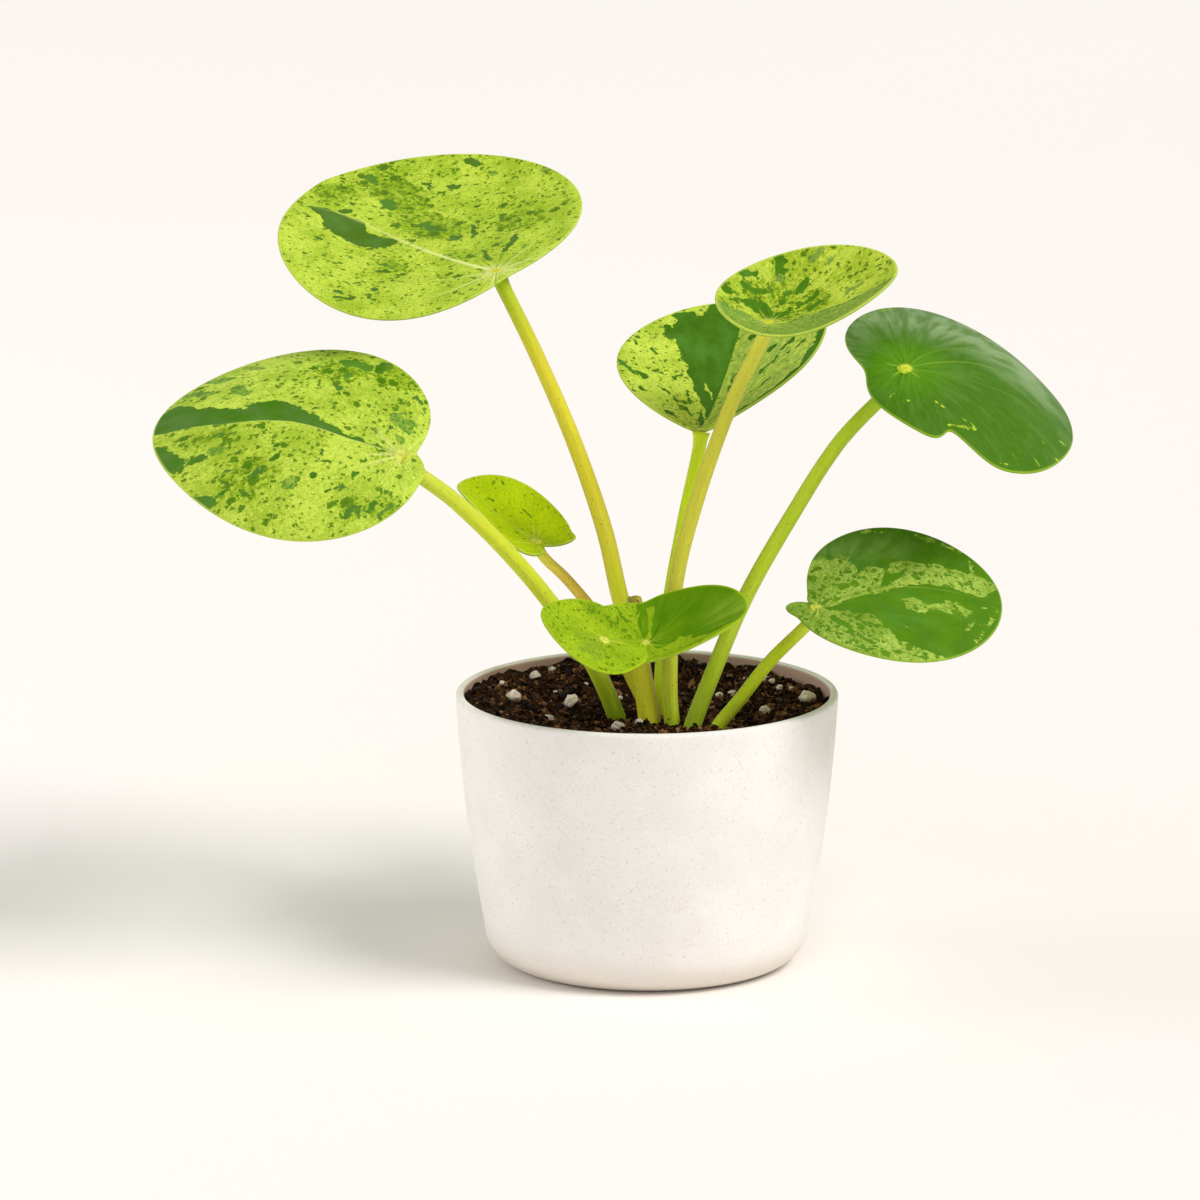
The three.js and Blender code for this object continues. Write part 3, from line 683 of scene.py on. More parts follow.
# the pale warm tint on its right side is partly the stem's own pink flush and partly painted light
# from the lamp on the right
stem_skin = stalk_finish("main_stem_skin", "d2e41a", "f6f434", "e6ee3a", "ffdca6", (0.0, 1.0))
stem.data.materials.append(stem_skin)
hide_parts("main_stem")
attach(stem, "root")

# Growing tip. A flat, brownish bud of young scales folded over each other. It is grown out of
# the top of the main stem.
BUD_BLUNTNESS = 0.35
BUD_CREASE_DEPTH = 0.16
BUD_CREASE_WIDTH = 0.25
BUD_LEAN = 0.3
BUD_SCALES = (  # lean, shift to the back and to the right, breadth, height
    (0, 0, 0, 0.92, 0.5),
    (0.2, 0.15, 0.18, 0.76, 0.93),
    (-0.25, 0.1, -0.2, 0.72, 0.9),
    (0.02, -0.3, 0.02, 0.6, 0.78),
)


def bud_scale(centre, half, lean, sides=28, rings=14):
    """Points and faces of one scale: a blunt bag with a crease across its top."""
    x_mid, y_mid, z_mid = centre
    stack = []
    for k in range(1, rings):
        rise = -math.pi / 2 + math.pi * k / rings
        blunt, z = math.cos(rise) ** BUD_BLUNTNESS, math.sin(rise)
        ring = []
        for side in range(sides):
            turn = 2 * math.pi * side / sides
            x, y = math.cos(turn) * blunt, math.sin(turn) * blunt
            crease = BUD_CREASE_DEPTH * math.exp(-((y / BUD_CREASE_WIDTH) ** 2)) * max(z, 0)
            crease += 0.03 * math.cos(7 * turn)
            ring.append((x_mid + half[0] * (x + lean * z), y_mid + half[1] * y,
                z_mid + half[2] * (z - crease)))
        stack.append(ring)
    top = (x_mid + half[0] * lean, y_mid, z_mid + half[2] * (1 - BUD_CREASE_DEPTH))
    return ringed((x_mid, y_mid, z_mid - half[2]), stack, top)


bud_low, bud_high = box_mm("growing_tip")
bud_middle, bud_half = (bud_low + bud_high) / 2, (bud_high - bud_low) / 2
scales = []
for lean, shift_y, shift_x, wide, tall in BUD_SCALES:
    centre = (bud_middle[0] + shift_x * bud_half[0], bud_middle[1] + shift_y * bud_half[1],
        bud_low[2] + tall * bud_half[2])
    scales.append(bud_scale(centre, bud_half * (wide, wide, tall), lean * BUD_LEAN))
bud = solid("growing_tip_bud", *gather(scales))
scale = Finish("bud_scale", Roughness=0.5)
scale_tone = scale.ramp(scale.noise(420, detail=3), 0.4, 0.62)
scale_colour = scale.mix(scale_tone, tint("b8b41c"), tint("90801a"))
scale_specks = scale.ramp(scale.noise(900, detail=1), 0.62, 0.68)
scale.colour(scale.mix(scale_specks, scale_colour, tint("6e5a20")))
scale.bump(scale.noise(700, detail=2), 0.0002)
bud.data.materials.append(scale.material)
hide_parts("growing_tip")
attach(bud, "root")

# Leaf 1, the large one at the top left. A round, shield-shaped blade of thin fleshy tissue, lime
# with green flecks and one dark wedge; its stalk is set in the blade's face and grows out of the
# main stem. Blades and their patterns are given in millimetres from the point of the stalk.
BLADE_THICKNESS = 0.8
BLADE_SPOKES = 240
BLADE_RINGS = 60
BLADE_MARGIN = (0.5, 0.34, 0.2, 0.09, 0.02, 0)
NORMAL_STEP = 0.05
NECK_LENGTH = 4
NECK_TURN = 0.28
STALK_END = 0.3  # from the middle of the blade
STALK_STEP = 1.5
STALK_RIDGES = 5
STALK_RIDGE_DEPTH = 0.025
PLAIN_LEAF = {
    # shape: dents in the outline as direction, width and depth
    "dents": (),
    # pattern: outlines and streaks in dark or light tissue, and in the grey tissue, which is partly
    # painted reflection and also marks the painted reflection on dark tissue
    "ground": "light", "patches": (), "streaks": (), "grey": (), "grey_patches": (),
    "mottling": 0.0, "mottled": (), "soft": 0.2, "ragged": 0.75,
    # light tissue: fewer or more dark grains, small and large specks
    "speck": "4d7410", "zone": "8cab1c", "clear": 0.0, "specks": 0.0, "rare": 0.15,
    # grey tissue, and the painted sheen, the bright heart and the painted reflection on dark tissue
    "silver": "548428", "silver_streaks": 0.0, "sheen": "5f9638", "sheen_share": 0.4,
    "heart_reach": 9, "heart_share": 0.0, "haze": 7, "frost": 0.0, "frost_tone": "96b078",
    # veins, the star of rays and the eye round the point of the stalk, and the margin
    "midrib": ((0, 0), (1, 0)), "rib_width": 0.3, "rib_share": 0.45, "veins": (),
    "pale": "d9e765", "star": 4.5, "eye": 1.6, "glow": "f6fa6e", "rim": "c6da55", "gloss": 0.05,
}


def leaf_axes(leaf):
    """Directions of the blade: towards its tip, to its side and out of its face."""
    heading, climb, roll = (math.radians(angle) for angle in leaf["turn"])
    level = np.array([-math.sin(heading), math.cos(heading), 0])
    tip = math.cos(climb) * np.array([math.cos(heading), math.sin(heading), 0])
    tip[2] = math.sin(climb)
    side = math.cos(roll) * level + math.sin(roll) * np.cross(tip, level)
    return tip, side, np.cross(tip, side)


def leaf_outline(leaf, angles):
    along = leaf["offset"] + leaf["half_length"] * np.cos(angles)
    across = leaf["half_width"] * np.sin(angles) * (1 - leaf["egg"] * np.cos(angles))
    across = across + leaf["skew"] * along * along / leaf["half_length"]
    share = np.ones_like(angles)
    for direction, width, depth in leaf["dents"]:
        off = np.abs((np.degrees(angles) - direction + 540) % 360 - 180) / width
        share -= depth * np.exp(-off * off)
    return along * share, across * share


def leaf_surface(leaf, along, across):
    """Places on the middle of the bowed blade."""
    tip, side, up = leaf_axes(leaf)
    u, v = along / leaf["half_length"], across / leaf["half_length"]
    cup, saddle, twist, tip_curl, side_curl, droop, arch, fold = leaf["lift"]
    lift = cup * (u * u + v * v) + saddle * (u * u - v * v) + 2 * twist * u * v
    lift += tip_curl * u**3 + side_curl * v**3 + droop * u * v * v + arch * u * u * v
    lift += fold * (np.hypot(across, 2) - 2)
    place = np.array(leaf["navel"]) + along[..., None] * tip + across[..., None] * side
    return place + lift[..., None] * up


def inside_outline(along, across, outline):
    """Distance to the outline in mm, positive inside it."""
    point = np.stack([along, across], -1)[:, None]
    a = np.array(outline, float)[None]
    ab = np.roll(a, -1, 1) - a
    share = ((point - a) * ab).sum(-1) / np.maximum((ab * ab).sum(-1), 1e-9)
    off = point - a - share.clip(0, 1)[..., None] * ab
    crossed = (a[..., 1] > point[..., 1]) != (np.roll(a, -1, 1)[..., 1] > point[..., 1])
    slope = ab[..., 0] / np.where(np.abs(ab[..., 1]) < 1e-9, 1e-9, ab[..., 1])
    left = point[..., 0] < a[..., 0] + (point[..., 1] - a[..., 1]) * slope
    inside = (crossed & left).sum(-1) % 2 == 1
    return np.where(inside, 1, -1) * np.sqrt((off * off).sum(-1).min(-1))


def inside_streak(along, across, streak):
    """Distance to the edge of a dot or a round-ended streak in mm, positive inside it."""
    a, b, c, d, radius = streak if len(streak) == 5 else (*streak[:2], *streak)
    run = (c - a) ** 2 + (d - b) ** 2 + 1e-9
    share = (((along - a) * (c - a) + (across - b) * (d - b)) / run).clip(0, 1)
    return radius - np.hypot(along - a - share * (c - a), across - b - share * (d - b))


def paint(leaf, along, across, rib):
    """Distance in mm into the dark tissue, and into the grey tissue; share of mottling."""
    far = 9.0

    def sway(seed):
        """Irregular shifts that make drawn edges ragged."""
        broad = 1.6 * (value_noise(along, across, 2.3, seed) - 0.5)
        return broad + 0.9 * (value_noise(along, across, 1.1, seed + 1) - 0.5)

    along, across = along + sway(5), across + sway(7)
    dark = np.full_like(along, far if leaf["ground"] == "dark" else -far)
    painted = []
    for tone, rib_side, outline in leaf["patches"]:
        depth = inside_outline(along, across, outline)
        painted.append((tone, np.minimum(depth, rib * rib_side) if rib_side else depth))
    for tone, streaks in leaf["streaks"]:
        painted += [(tone, inside_streak(along, across, streak)) for streak in streaks]
    for tone, depth in painted:
        dark = np.maximum(dark, depth) if tone == "dark" else np.minimum(dark, -depth)
    grey = np.full_like(along, -far)
    for streak in leaf["grey"]:
        grey = np.maximum(grey, inside_streak(along, across, streak))
    for outline in leaf["grey_patches"]:
        grey = np.maximum(grey, inside_outline(along, across, outline))
    mottled = np.full_like(along, leaf["mottling"])
    for streak in leaf["mottled"]:
        share = inside_streak(along, across, streak) / 3 + 0.5
        mottled = np.maximum(mottled, share.clip(0, 1))
    return np.stack([dark.clip(-far, far), grey.clip(-far, far), mottled], 1)


def leaf_blade(leaf):
    """The blade: two bowed skins that meet in a rounded margin, with its pattern painted in."""
    angles = np.arange(BLADE_SPOKES) * 2 * math.pi / BLADE_SPOKES
    rim_along, rim_across = leaf_outline(leaf, angles)
    reach = np.hypot(rim_along, rim_across)
    inner = [(reach - BLADE_MARGIN[0]) * k / BLADE_RINGS for k in range(1, BLADE_RINGS)]
    rings = np.array(inner + [reach - rim for rim in BLADE_MARGIN])
    along, across = rings / reach * rim_along, rings / reach * rim_across
    margin = reach - rings
    swell = (1 - margin / BLADE_MARGIN[0]).clip(0)
    half = BLADE_THICKNESS / 2 * np.sqrt((1 - swell * swell).clip(0))
    step = NORMAL_STEP
    run = leaf_surface(leaf, along + step, across) - leaf_surface(leaf, along - step, across)
    rise = leaf_surface(leaf, along, across + step) - leaf_surface(leaf, along, across - step)
    normal = np.cross(run, rise)
    normal /= np.linalg.norm(normal, axis=-1, keepdims=True)
    place = leaf_surface(leaf, along, across)
    navel, up = np.array(leaf["navel"]), leaf_axes(leaf)[2] * BLADE_THICKNESS / 2
    top, under = place + normal * half[..., None], (place - normal * half[..., None])[:-1]
    count, sides = rings.shape
    points = [navel + up, *top.reshape(-1, 3), *under.reshape(-1, 3), navel - up]
    last = len(points) - 1

    def upper(k, i):
        return 1 + k * sides + i % sides

    def lower(k, i):
        return upper(k, i) if k == count - 1 else 1 + (count + k) * sides + i % sides

    faces = []
    for i in range(sides):
        faces += [(0, upper(0, i), upper(0, i + 1)), (last, lower(0, i + 1), lower(0, i))]
        for k in range(count - 1):
            faces.append((upper(k, i), upper(k + 1, i), upper(k + 1, i + 1), upper(k, i + 1)))
            faces.append((lower(k, i), lower(k, i + 1), lower(k + 1, i + 1), lower(k + 1, i)))
    made = solid(leaf["name"] + "_leaf", points, faces)

    def spread(values, middle):
        """Values for all points, from those on the rings and the one in the middle."""
        return np.concatenate([[middle], values.ravel(), values[:-1].ravel(), [middle]])

    flat_along, flat_across = spread(along, 0), spread(across, 0)
    face = np.ones(len(points))
    face[1 + count * sides :] = -1
    rib = flat_across - np.interp(flat_along, *zip(*leaf["midrib"]))
    for name, values in (
        ("leaf_place", np.stack([flat_along, flat_across, face], 1)),
        ("leaf_tone", paint(leaf, flat_along, flat_across, rib)),
        ("leaf_edge", np.stack([spread(margin, 30), rib, face], 1)),
    ):
        layer = made.data.attributes.new(name, "FLOAT_VECTOR", "POINT")
        layer.data.foreach_set("vector", values.ravel())
    return made


def blade_finish(leaf):
    """Variegated tissue: mottling and specks round the stalk's point, painted patches, veins."""
    skin = Finish(leaf["name"] + "_tissue", Roughness=0.45, Specular_IOR_Level=leaf["gloss"])
    add, minus, times, fused, size = skin.add, skin.minus, skin.times, skin.fused, skin.size
    mix, ramp, noise = skin.mix, skin.ramp, skin.noise
    light, middle, dark, shade = (tint(code) for code in leaf["tissue"])
    speck_tone, sheen_tone, pale = (tint(leaf[key]) for key in ("speck", "sheen", "pale"))
    along, across, face = skin.split(skin.read("leaf_place"))
    dark_in, grey_in, mottled = skin.split(skin.read("leaf_tone"))
    margin, rib, _ = skin.split(skin.read("leaf_edge"))
    seed = leaf["seed"]
    flat = skin.join(along, across, seed)
    reach = skin.length(along, across)
    safe = skin.math("MAXIMUM", reach, 0.3)
    ray_x, ray_y = skin.math("DIVIDE", along, safe), skin.math("DIVIDE", across, safe)

    def radial(turns, pitch, shift):
        """Coordinates that stretch a pattern along the rays from the stalk's point."""
        outwards = fused(reach, pitch, seed + shift)
        return skin.join(times(ray_x, turns), times(ray_y, turns), outwards)

    # the cells wander, so that no speck is round
    wander = skin.node("ShaderNodeTexNoise", {"Vector": flat, "Scale": 0.75, "Detail": 3.0,
        "Roughness": 0.6}).outputs["Color"]
    loose = skin.node("ShaderNodeVectorMath", {0: wander, 1: (2.4, 2.4, 0), 2: flat},
        operation="MULTIPLY_ADD").outputs[0]
    cloud = noise(0.085, flat, detail=1)

    # light tissue: a net of fine greener lines, and mottling in its zones
    net = ramp(size(minus(noise(1.15, loose, detail=2, roughness=0.6), 0.5)), 0.034, 0.004)
    fleck = noise(1.0, radial(19, 0.6, 3), detail=3, roughness=0.65)
    fine = noise(1.9, loose, detail=2, roughness=0.6)
    tone = add(times(cloud, 0.35), add(times(fleck, 0.25), times(fine, 0.4)))
    colour = mix(ramp(tone, 0.43, 0.57, 0, 0.75), light, middle)
    colour = mix(times(net, 0.6), colour, middle)
    grain = fused(fleck, 0.35, times(noise(0.95, loose, detail=3, roughness=0.7), 0.65))
    above = minus(grain, fused(mottled, -0.14, 0.605 + leaf["clear"]))
    colour = mix(times(mottled, 0.35), colour, middle)
    colour = mix(ramp(above, -0.03, 0.03, 0, 0.8), colour, tint(leaf["zone"]))
    colour = mix(times(ramp(minus(above, 0.07), -0.01, 0.02), 0.65), colour, speck_tone)

    # separate specks, small and large, and short dashes along the rays
    often = fused(mottled, -0.15, fused(cloud, -0.5, 0.87 - leaf["specks"]))

    def specks(pitch, rarely, growth, low, high):
        off, luck = skin.voronoi(pitch, loose)
        return ramp(minus(times(minus(luck, rarely), growth), off), low, high)

    small = specks(1.35, often, 1.5, -0.09, 0.03)
    large = specks(3.3, add(often, leaf["rare"]), 5.0, -0.1, 0.08)
    dash = noise(1.0, radial(23, 0.75, 9), detail=2, roughness=0.6)
    dash = ramp(minus(dash, fused(often, 0.12, 0.6)), -0.008, 0.012)
    colour = mix(times(skin.math("MAXIMUM", dash, small), 0.88), colour, speck_tone)
    colour = mix(times(large, 0.9), colour, dark)
    lines = noise(1.0, radial(31, 0.4, 13), detail=3, roughness=0.7)
    colour = mix(ramp(lines, 0.5, 0.62, 0, 0.3), colour, middle)

    # grey tissue: in places a clear layer over the green, in places painted reflection where the
    # blade is seen at a glancing angle and mirrors the pale walls
    jag = fused(noise(0.9, flat, detail=3, roughness=0.65), 2.4, -1.2)
    grey = ramp(add(grey_in, jag), -leaf["soft"], leaf["soft"])
    grey = times(grey, ramp(above, -0.16, -0.02, 0.55, 0.95))
    streaks = ramp(fleck, 0.44, 0.6, 0, leaf["silver_streaks"])
    colour = mix(grey, colour, mix(streaks, tint(leaf["silver"]), light))

    # dark tissue, with paler clouds, a painted sheen of reflected light, a bright heart, painted
    # reflection over the grey areas, a faint streak along the rays and light flecks by its edge
    steady = ramp(size(rib), 0.3, 2.5)
    in_dark = add(dark_in, times(jag, leaf["ragged"], steady))
    holes = minus(ramp(above, 0.06, 0.12), ramp(in_dark, 0.6, 2.6))
    holes = skin.math("MAXIMUM", holes, 0.0)
    in_dark = skin.math("SUBTRACT", ramp(in_dark, -0.1, 0.1), holes, clamp=True)
    streaky = noise(1.0, radial(9, 0.09, 5), detail=3)
    dark_tone = mix(ramp(noise(0.16, flat, detail=3), 0.35, 0.65), dark, shade)
    # painted sheen: clouds of light reflected from the pale walls, painted over the dark tissue
    sheen = add(times(streaky, 0.5), times(noise(0.1, flat, detail=2), 0.5))
    sheen = times(ramp(sheen, 0.47, 0.66), leaf["sheen_share"])
    dark_tone = mix(sheen, dark_tone, sheen_tone)
    heart = ramp(reach, leaf["heart_reach"], 1, 0, leaf["heart_share"])
    dark_tone = mix(heart, dark_tone, tint("62a00f"))
    # painted reflection: a greyish glare from the pale walls, painted over the dark tissue where
    # the grey areas lie
    haze = leaf["haze"]
    frost = ramp(add(grey_in, jag), -haze, haze * 0.7, 0, leaf["frost"], soft=False)
    frost = times(frost, ramp(streaky, 0.35, 0.6, 0.3, 1))
    dark_tone = mix(frost, dark_tone, tint(leaf["frost_tone"]))
    dark_tone = mix(ramp(lines, 0.5, 0.64, 0, 0.14), dark_tone, sheen_tone)
    colour = mix(in_dark, colour, dark_tone)

    # midrib and side veins, the bright point where the stalk meets the blade, and the margin
    thin = ramp(reach, leaf["half_length"] * 1.9, 4)
    line = ramp(size(rib), leaf["rib_width"], 0.08)
    veins = times(line, ramp(along, 0, 3), thin, leaf["rib_share"])
    for angle, bow in leaf["veins"]:
        cos, sin = math.cos(math.radians(angle)), math.sin(math.radians(angle))
        forth = add(times(along, cos), times(across, sin))
        off = minus(times(across, cos), times(along, sin))
        off = size(add(off, times(forth, forth, bow if angle > 0 else -bow)))
        one = times(ramp(off, 0.32, 0.06), ramp(forth, 0, 3), thin, 0.12)
        veins = skin.math("MAXIMUM", veins, one)
    colour = mix(veins, colour, pale)
    ray = noise(1.0, radial(5, 0.0, 1), detail=1, roughness=0.5)
    star = times(reach, ramp(ray, 0.35, 0.66, 2.6, 0.5, soft=False))
    colour = mix(ramp(star, leaf["star"], 0.3, 0, 0.9, soft=False), colour, pale)
    colour = mix(ramp(reach, leaf["eye"], leaf["eye"] * 0.4), colour, tint(leaf["glow"]))
    colour = mix(ramp(margin, 0.62, 0.22, 0, 0.7), colour, tint(leaf["rim"]))

    # the underside is paler, and the pattern shows through it only a little
    skin.colour(mix(ramp(face, 0.05, -0.05), colour, mix(0.72, colour, tint("a4bf48"))))
    swell = noise(1.0, radial(3.2, 0.07, 2), detail=2)
    relief = add(times(grain, 0.6), times(swell, 4.0))
    skin.bump(minus(relief, times(veins, 0.6)), 0.0005, 0.7)
    return skin.material


def leaf_stalk(leaf):
    """The stalk, which bends at its neck to meet the blade at a right angle."""
    navel, normal = Vector(leaf["navel"]), Vector(leaf_axes(leaf)[2])
    approach = (navel - Vector(leaf["stalk"][-1])).normalized()
    neck = navel - approach.lerp(normal, NECK_TURN).normalized() * NECK_LENGTH
    end = navel - normal * STALK_END
    route = smooth_route([*leaf["stalk"], tuple(neck), tuple(end)], STALK_STEP)
    foot, top = leaf["stalk_radii"]
    length = sum((b - a).length for a, b in zip(route, route[1:]))

    def radius(share):
        """Tapers, with a little flare at the foot and a larger one under the blade."""
        flare = 1 + 0.1 * math.exp(-share * 16) + 0.4 * math.exp(-(1 - share) * length / 1.6)
        return (foot + (top - foot) * share) * flare

    name = leaf["name"] + "_stem"
    return fleshy_rod(name, route, radius, STALK_RIDGES, STALK_RIDGE_DEPTH)


def grow(name, **traits):
    """Makes a blade and its stalk, dresses them and lets them stand for the solids."""
    leaf = PLAIN_LEAF | traits | {"name": name}
    pieces = {"_blade": leaf_blade(leaf), "_stalk": leaf_stalk(leaf)}
    pieces["_blade"].data.materials.append(blade_finish(leaf))
    pieces["_stalk"].data.materials.append(stalk_finish(name + "_skin", *leaf["skin"]))
    for part, piece in pieces.items():
        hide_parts(name + part)
        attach(piece, "root")


grow(
    "leaf_01", seed=1.0, navel=(-39.1, 14, 180.5), turn=(126.3, 0.3, -19.8), half_length=40,
    half_width=41.9, offset=34, egg=0.17, skew=-0.08,
    lift=(4, 0.2, 3.3, 0.2, -0.4, 5.3, 0.2, -0.08),
    stalk=[(-2.3, -9.3, 83), (-4.4, -6.1, 89.5), (-7.1, -3, 97.6), (-11.2, -0.2, 115),
        (-19.3, 4.5, 138), (-29.4, 9.5, 160.7)],
    stalk_radii=(2.35, 1.85), skin=("deee2c", "e6dc34", "b1d114", "e2b87c"),
    tissue=("cfe650", "94b41c", "4d7414", "557a2a"), speck="5a8210", star=10, pale="eaf494",
    eye=1.9, glow="eef03c", rib_share=1.0, rib_width=0.95, zone="86a818",
    midrib=((0, 0), (15, 1), (36, 3), (49.5, 4.5), (57.5, 7), (62, 11), (74, 18)),
    patches=[
        ("dark", 0, [(62, 13), (61, 9), (57.5, 7), (54.5, 5.5), (49.5, 4.5), (47, 6.5), (44.5, 7),
            (40.5, 5.5), (36, 3.5), (37, 8.5), (38, 11.5), (40, 13.5), (45, 14.5), (49.5, 15.5),
            (54, 14.5), (58.5, 12.5)]),
    ],
    streaks=[
        ("dark", [(56, -35, 52.5, -35.5, 0.9), (51, -25, 50, -26, 1.2), (55, -25.5, 0.7),
            (58.5, -26.5, 0.7), (58.5, -20.5, 56.5, -22, 0.6), (56, -21.5, 54, -20, 0.7),
            (57.5, 5, 57.5, 4.5, 1.2), (60, 1, 0.7), (30, -15.5, 24.5, -11, 0.7),
            (9.5, -10.5, 14.5, -17.5, 1.2), (15, -7, 9, -3.5, 0.7), (28.5, -8, 1.6),
            (37.5, -9.5, 35, -8.5, 1), (26.5, 18, 26, 17.5, 1.2), (23, 34, 22.5, 33.5, 0.9),
            (21, 36.5, 19, 33.5, 0.7), (16, 30, 16, 29, 0.7), (4, 6, 2, 3.5, 0.4),
            (19.5, 26, 19.5, 25.5, 0.7), (26, 29.5, 24, 25.5, 0.4), (51, 20, 0.7),
            (48, 21, 46.5, 20, 0.6), (44, -14, 43, -14, 0.6), (29.5, 3, 0.9),
            (59, -1, 53.5, -4.5, 0.3), (27, -22, 26, -22, 0.7), (28, -28.5, 0.7),
            (37.5, -26, 0.6), (39, -37.5, 38.5, -37.5, 0.5), (20.5, 19, 17.5, 16.5, 0.3)]),
    ],
    grey=[(46.5, -35.5, 45, -35.5, 1.1), (33.5, -43, 31.5, -43.5, 1.1),
        (71, -22, 70.5, -22.5, 0.7), (69.5, -12, 65.5, -12, 1.2), (57, -8, 53.5, -6.5, 1.6),
        (40, -7.5, 36.5, -7.5, 1.6), (40, 25.5, 39.5, 25, 0.7), (30, 15, 26.5, 14, 0.6)],
    mottled=[(41, -8, 37, -8.5, 7.1), (67, 2, 66, -0.5, 5), (66, -14.5, 53.5, -11, 6.4),
        (29, 13.5, 25, 13.5, 3.5), (23, -23, 19.5, -24.5, 4.8)],
)

# Leaf 2, the left one. Its blade leans towards the front: lime, with a dark band along the
# midrib from the tip and a small notch at its base. Its stalk stands in the soil.
grow(
    "leaf_02", seed=12.0, navel=(-63.5, -24, 139.5), turn=(180.6, 25.2, -40.9), half_length=33.2,
    half_width=33.2, offset=25.3, egg=0.1, skew=-0.07,
    lift=(-5.3, -0.5, 0.5, -4.1, -0.8, -7, 0.3, 0.02), dents=[(189, 13, 0.52), (179, 7, -0.18)],
    stalk=[(-5.8, -6.3, 58), (-8.1, -7, 66.9), (-14.1, -9, 81.2), (-23.7, -12, 96.3),
        (-34.3, -15, 110.2), (-50, -19, 126.9)],
    stalk_radii=(2.35, 2.0), skin=("a2cb14", "d8e634", "d1e248", "e7c580", (0.3, 0.2)),
    tissue=("cfe656", "95b424", "47780c", "557f30"), speck="4f7a12", pale="e8f288", star=6, eye=2,
    silver="588a2c",
    midrib=((0, 0), (8, 0.9), (13.5, 1.3), (18, 0.9), (24, 0), (28.5, -0.5), (36, -0.5),
        (43, -0.2), (50, -1.5), (58, -2.5)),
    patches=[
        ("dark", -1, [(1, 1), (8, 2), (13.5, 2.5), (18, 2), (24, 1), (32, 1), (43, 1), (47.5, 0),
            (52.5, -0.5), (55, -1.5), (58, -2.5), (60, -9), (58, -12), (56.5, -14.5), (55, -14),
            (52, -12), (49, -9), (46, -7), (43, -6), (40, -5), (39.5, -6.5), (37.5, -8),
            (33, -7.5), (30, -7), (26.5, -5), (22.5, -3), (19, -1.5), (14, 0), (8.5, 0.3)]),
        ("dark", 0, [(58, 2), (54.5, 4), (52, 6.5), (49.5, 10), (47.5, 13.5), (49, 14), (51, 14),
            (55, 11), (57, 7)]),
        ("dark", 0, [(46.5, 21.5), (42.5, 22), (40, 22), (38, 23.5), (37.5, 25), (39, 25.5),
            (42, 25.5), (45.5, 24)]),
    ],
    streaks=[
        ("dark", [(47, 11, 45.5, 10.5, 1.2), (30, 12.5, 28.5, 10.5, 0.8), (45, 4, 40, 3.5, 0.5),
            (25, -6, 23.5, -6.5, 0.5), (22.5, -16.5, 20.5, -16, 0.8), (21.5, -9.5, 0.5),
            (39, 16, 38.5, 15.5, 0.7), (39, 18.5, 37.5, 19.5, 0.5), (19.5, 10.5, 16.5, 10, 0.5),
            (19, 6.5, 18.5, 8, 0.5), (30.5, 7.5, 29.5, 7.5, 0.5), (30.5, 2.5, 30, 2.5, 0.5),
            (39, 10.5, 38, 10, 0.5), (-3, -0.5, 0.8), (12.5, -26.5, 11.5, -29, 1.6), (5, -7, 0.7),
            (32, 29, 30.5, 29.5, 0.3), (19.5, 15, 18.5, 15, 0.5), (2.5, -23, 0.6),
            (38.5, 21.5, 37, 21.5, 0.4), (14, 18.5, 11, 16, 0.6), (8, 23, 5, 20, 0.7),
            (2, 19, 2, 17, 0.8), (-0.5, 20, -3, 15.5, 0.6), (9.5, 12, 8.5, 10.5, 0.5),
            (1.5, -20, 0, -18.5, 0.7), (32.5, 17.5, 31, 15.5, 0.7),
            (34.5, 21.5, 30.5, 22.5, 0.4)]),
    ],
    grey=[(53.5, -19, 49.5, -16, 1.4), (49.5, -24, 46.5, -21.5, 1.3), (43.5, -15.5, 42, -13, 1.8),
        (42.5, -27.5, 40, -25.5, 0.9), (24, 18.5, 22.5, 17.5, 1.1), (43.5, 9, 42.5, 9, 1.1),
        (3.5, -10.5, 1, -9.5, 2.4), (2.5, -5, 1, -4, 1.2), (21, -28, 16, -26, 1.5),
        (20, -21, 19.5, -22.5, 1.1)],
    mottled=[(33.5, 17.5, 6.5), (9.5, -25, 7, -25.5, 5.2), (0, 18, -2.5, 16.5, 3.3),
        (7, 21.5, 4.5, 19.5, 2.6), (24.5, -23.5, 17.5, -25.5, 4.1), (47.5, 3.5, 43.5, 3.5, 2.8)],
)

# Leaf 3, the small one behind the left stalk. A young blade, nearly all lime and folded at its
# base, on a thin stalk that grows out of the main stem.
grow(
    "leaf_03", seed=23.0, navel=(-29, 12, 109.1), turn=(150.3, 17.1, -7.2), half_length=16.6,
    half_width=15, offset=8.6, egg=0.08, skew=-0.03,
    lift=(4.9, -0.1, 1.3, -1.1, 1, 4, -0.7, -0.02), dents=[(177, 20, 0.63), (201, 11, -0.24)],
    stalk=[(0, -10.6, 70), (-3.6, -9.4, 76.5), (-7.6, -5, 84), (-12.3, 0, 90.9),
        (-20.8, 6, 100.3)],
    stalk_radii=(1.7, 1.3), skin=("faff34", "f6d454", "ffff55", "d08a50", (0.3, 0.7)),
    tissue=("c6de12", "a8c206", "6f8f04", "5c8c04"), clear=0.03, specks=-0.12, speck="7b9408",
    gloss=0.03,
    streaks=[
        ("dark", [(18.5, -9.5, 18, -9.5, 0.4), (20.5, -10.5, 20, -10.5, 0.2), (9.5, -14.5, 0.2),
            (7, -15.5, 0.2), (1.5, -13.5, 1.5, -14, 0.2), (-2, -10.5, 0.2),
            (6.5, -11.5, 6, -11.5, 0.2), (17.5, -2, 16.5, -3, 0.3), (15, -1, 14.5, -1, 0.2),
            (9.5, -8.5, 7.5, -7, 0.4)]),
    ],
)

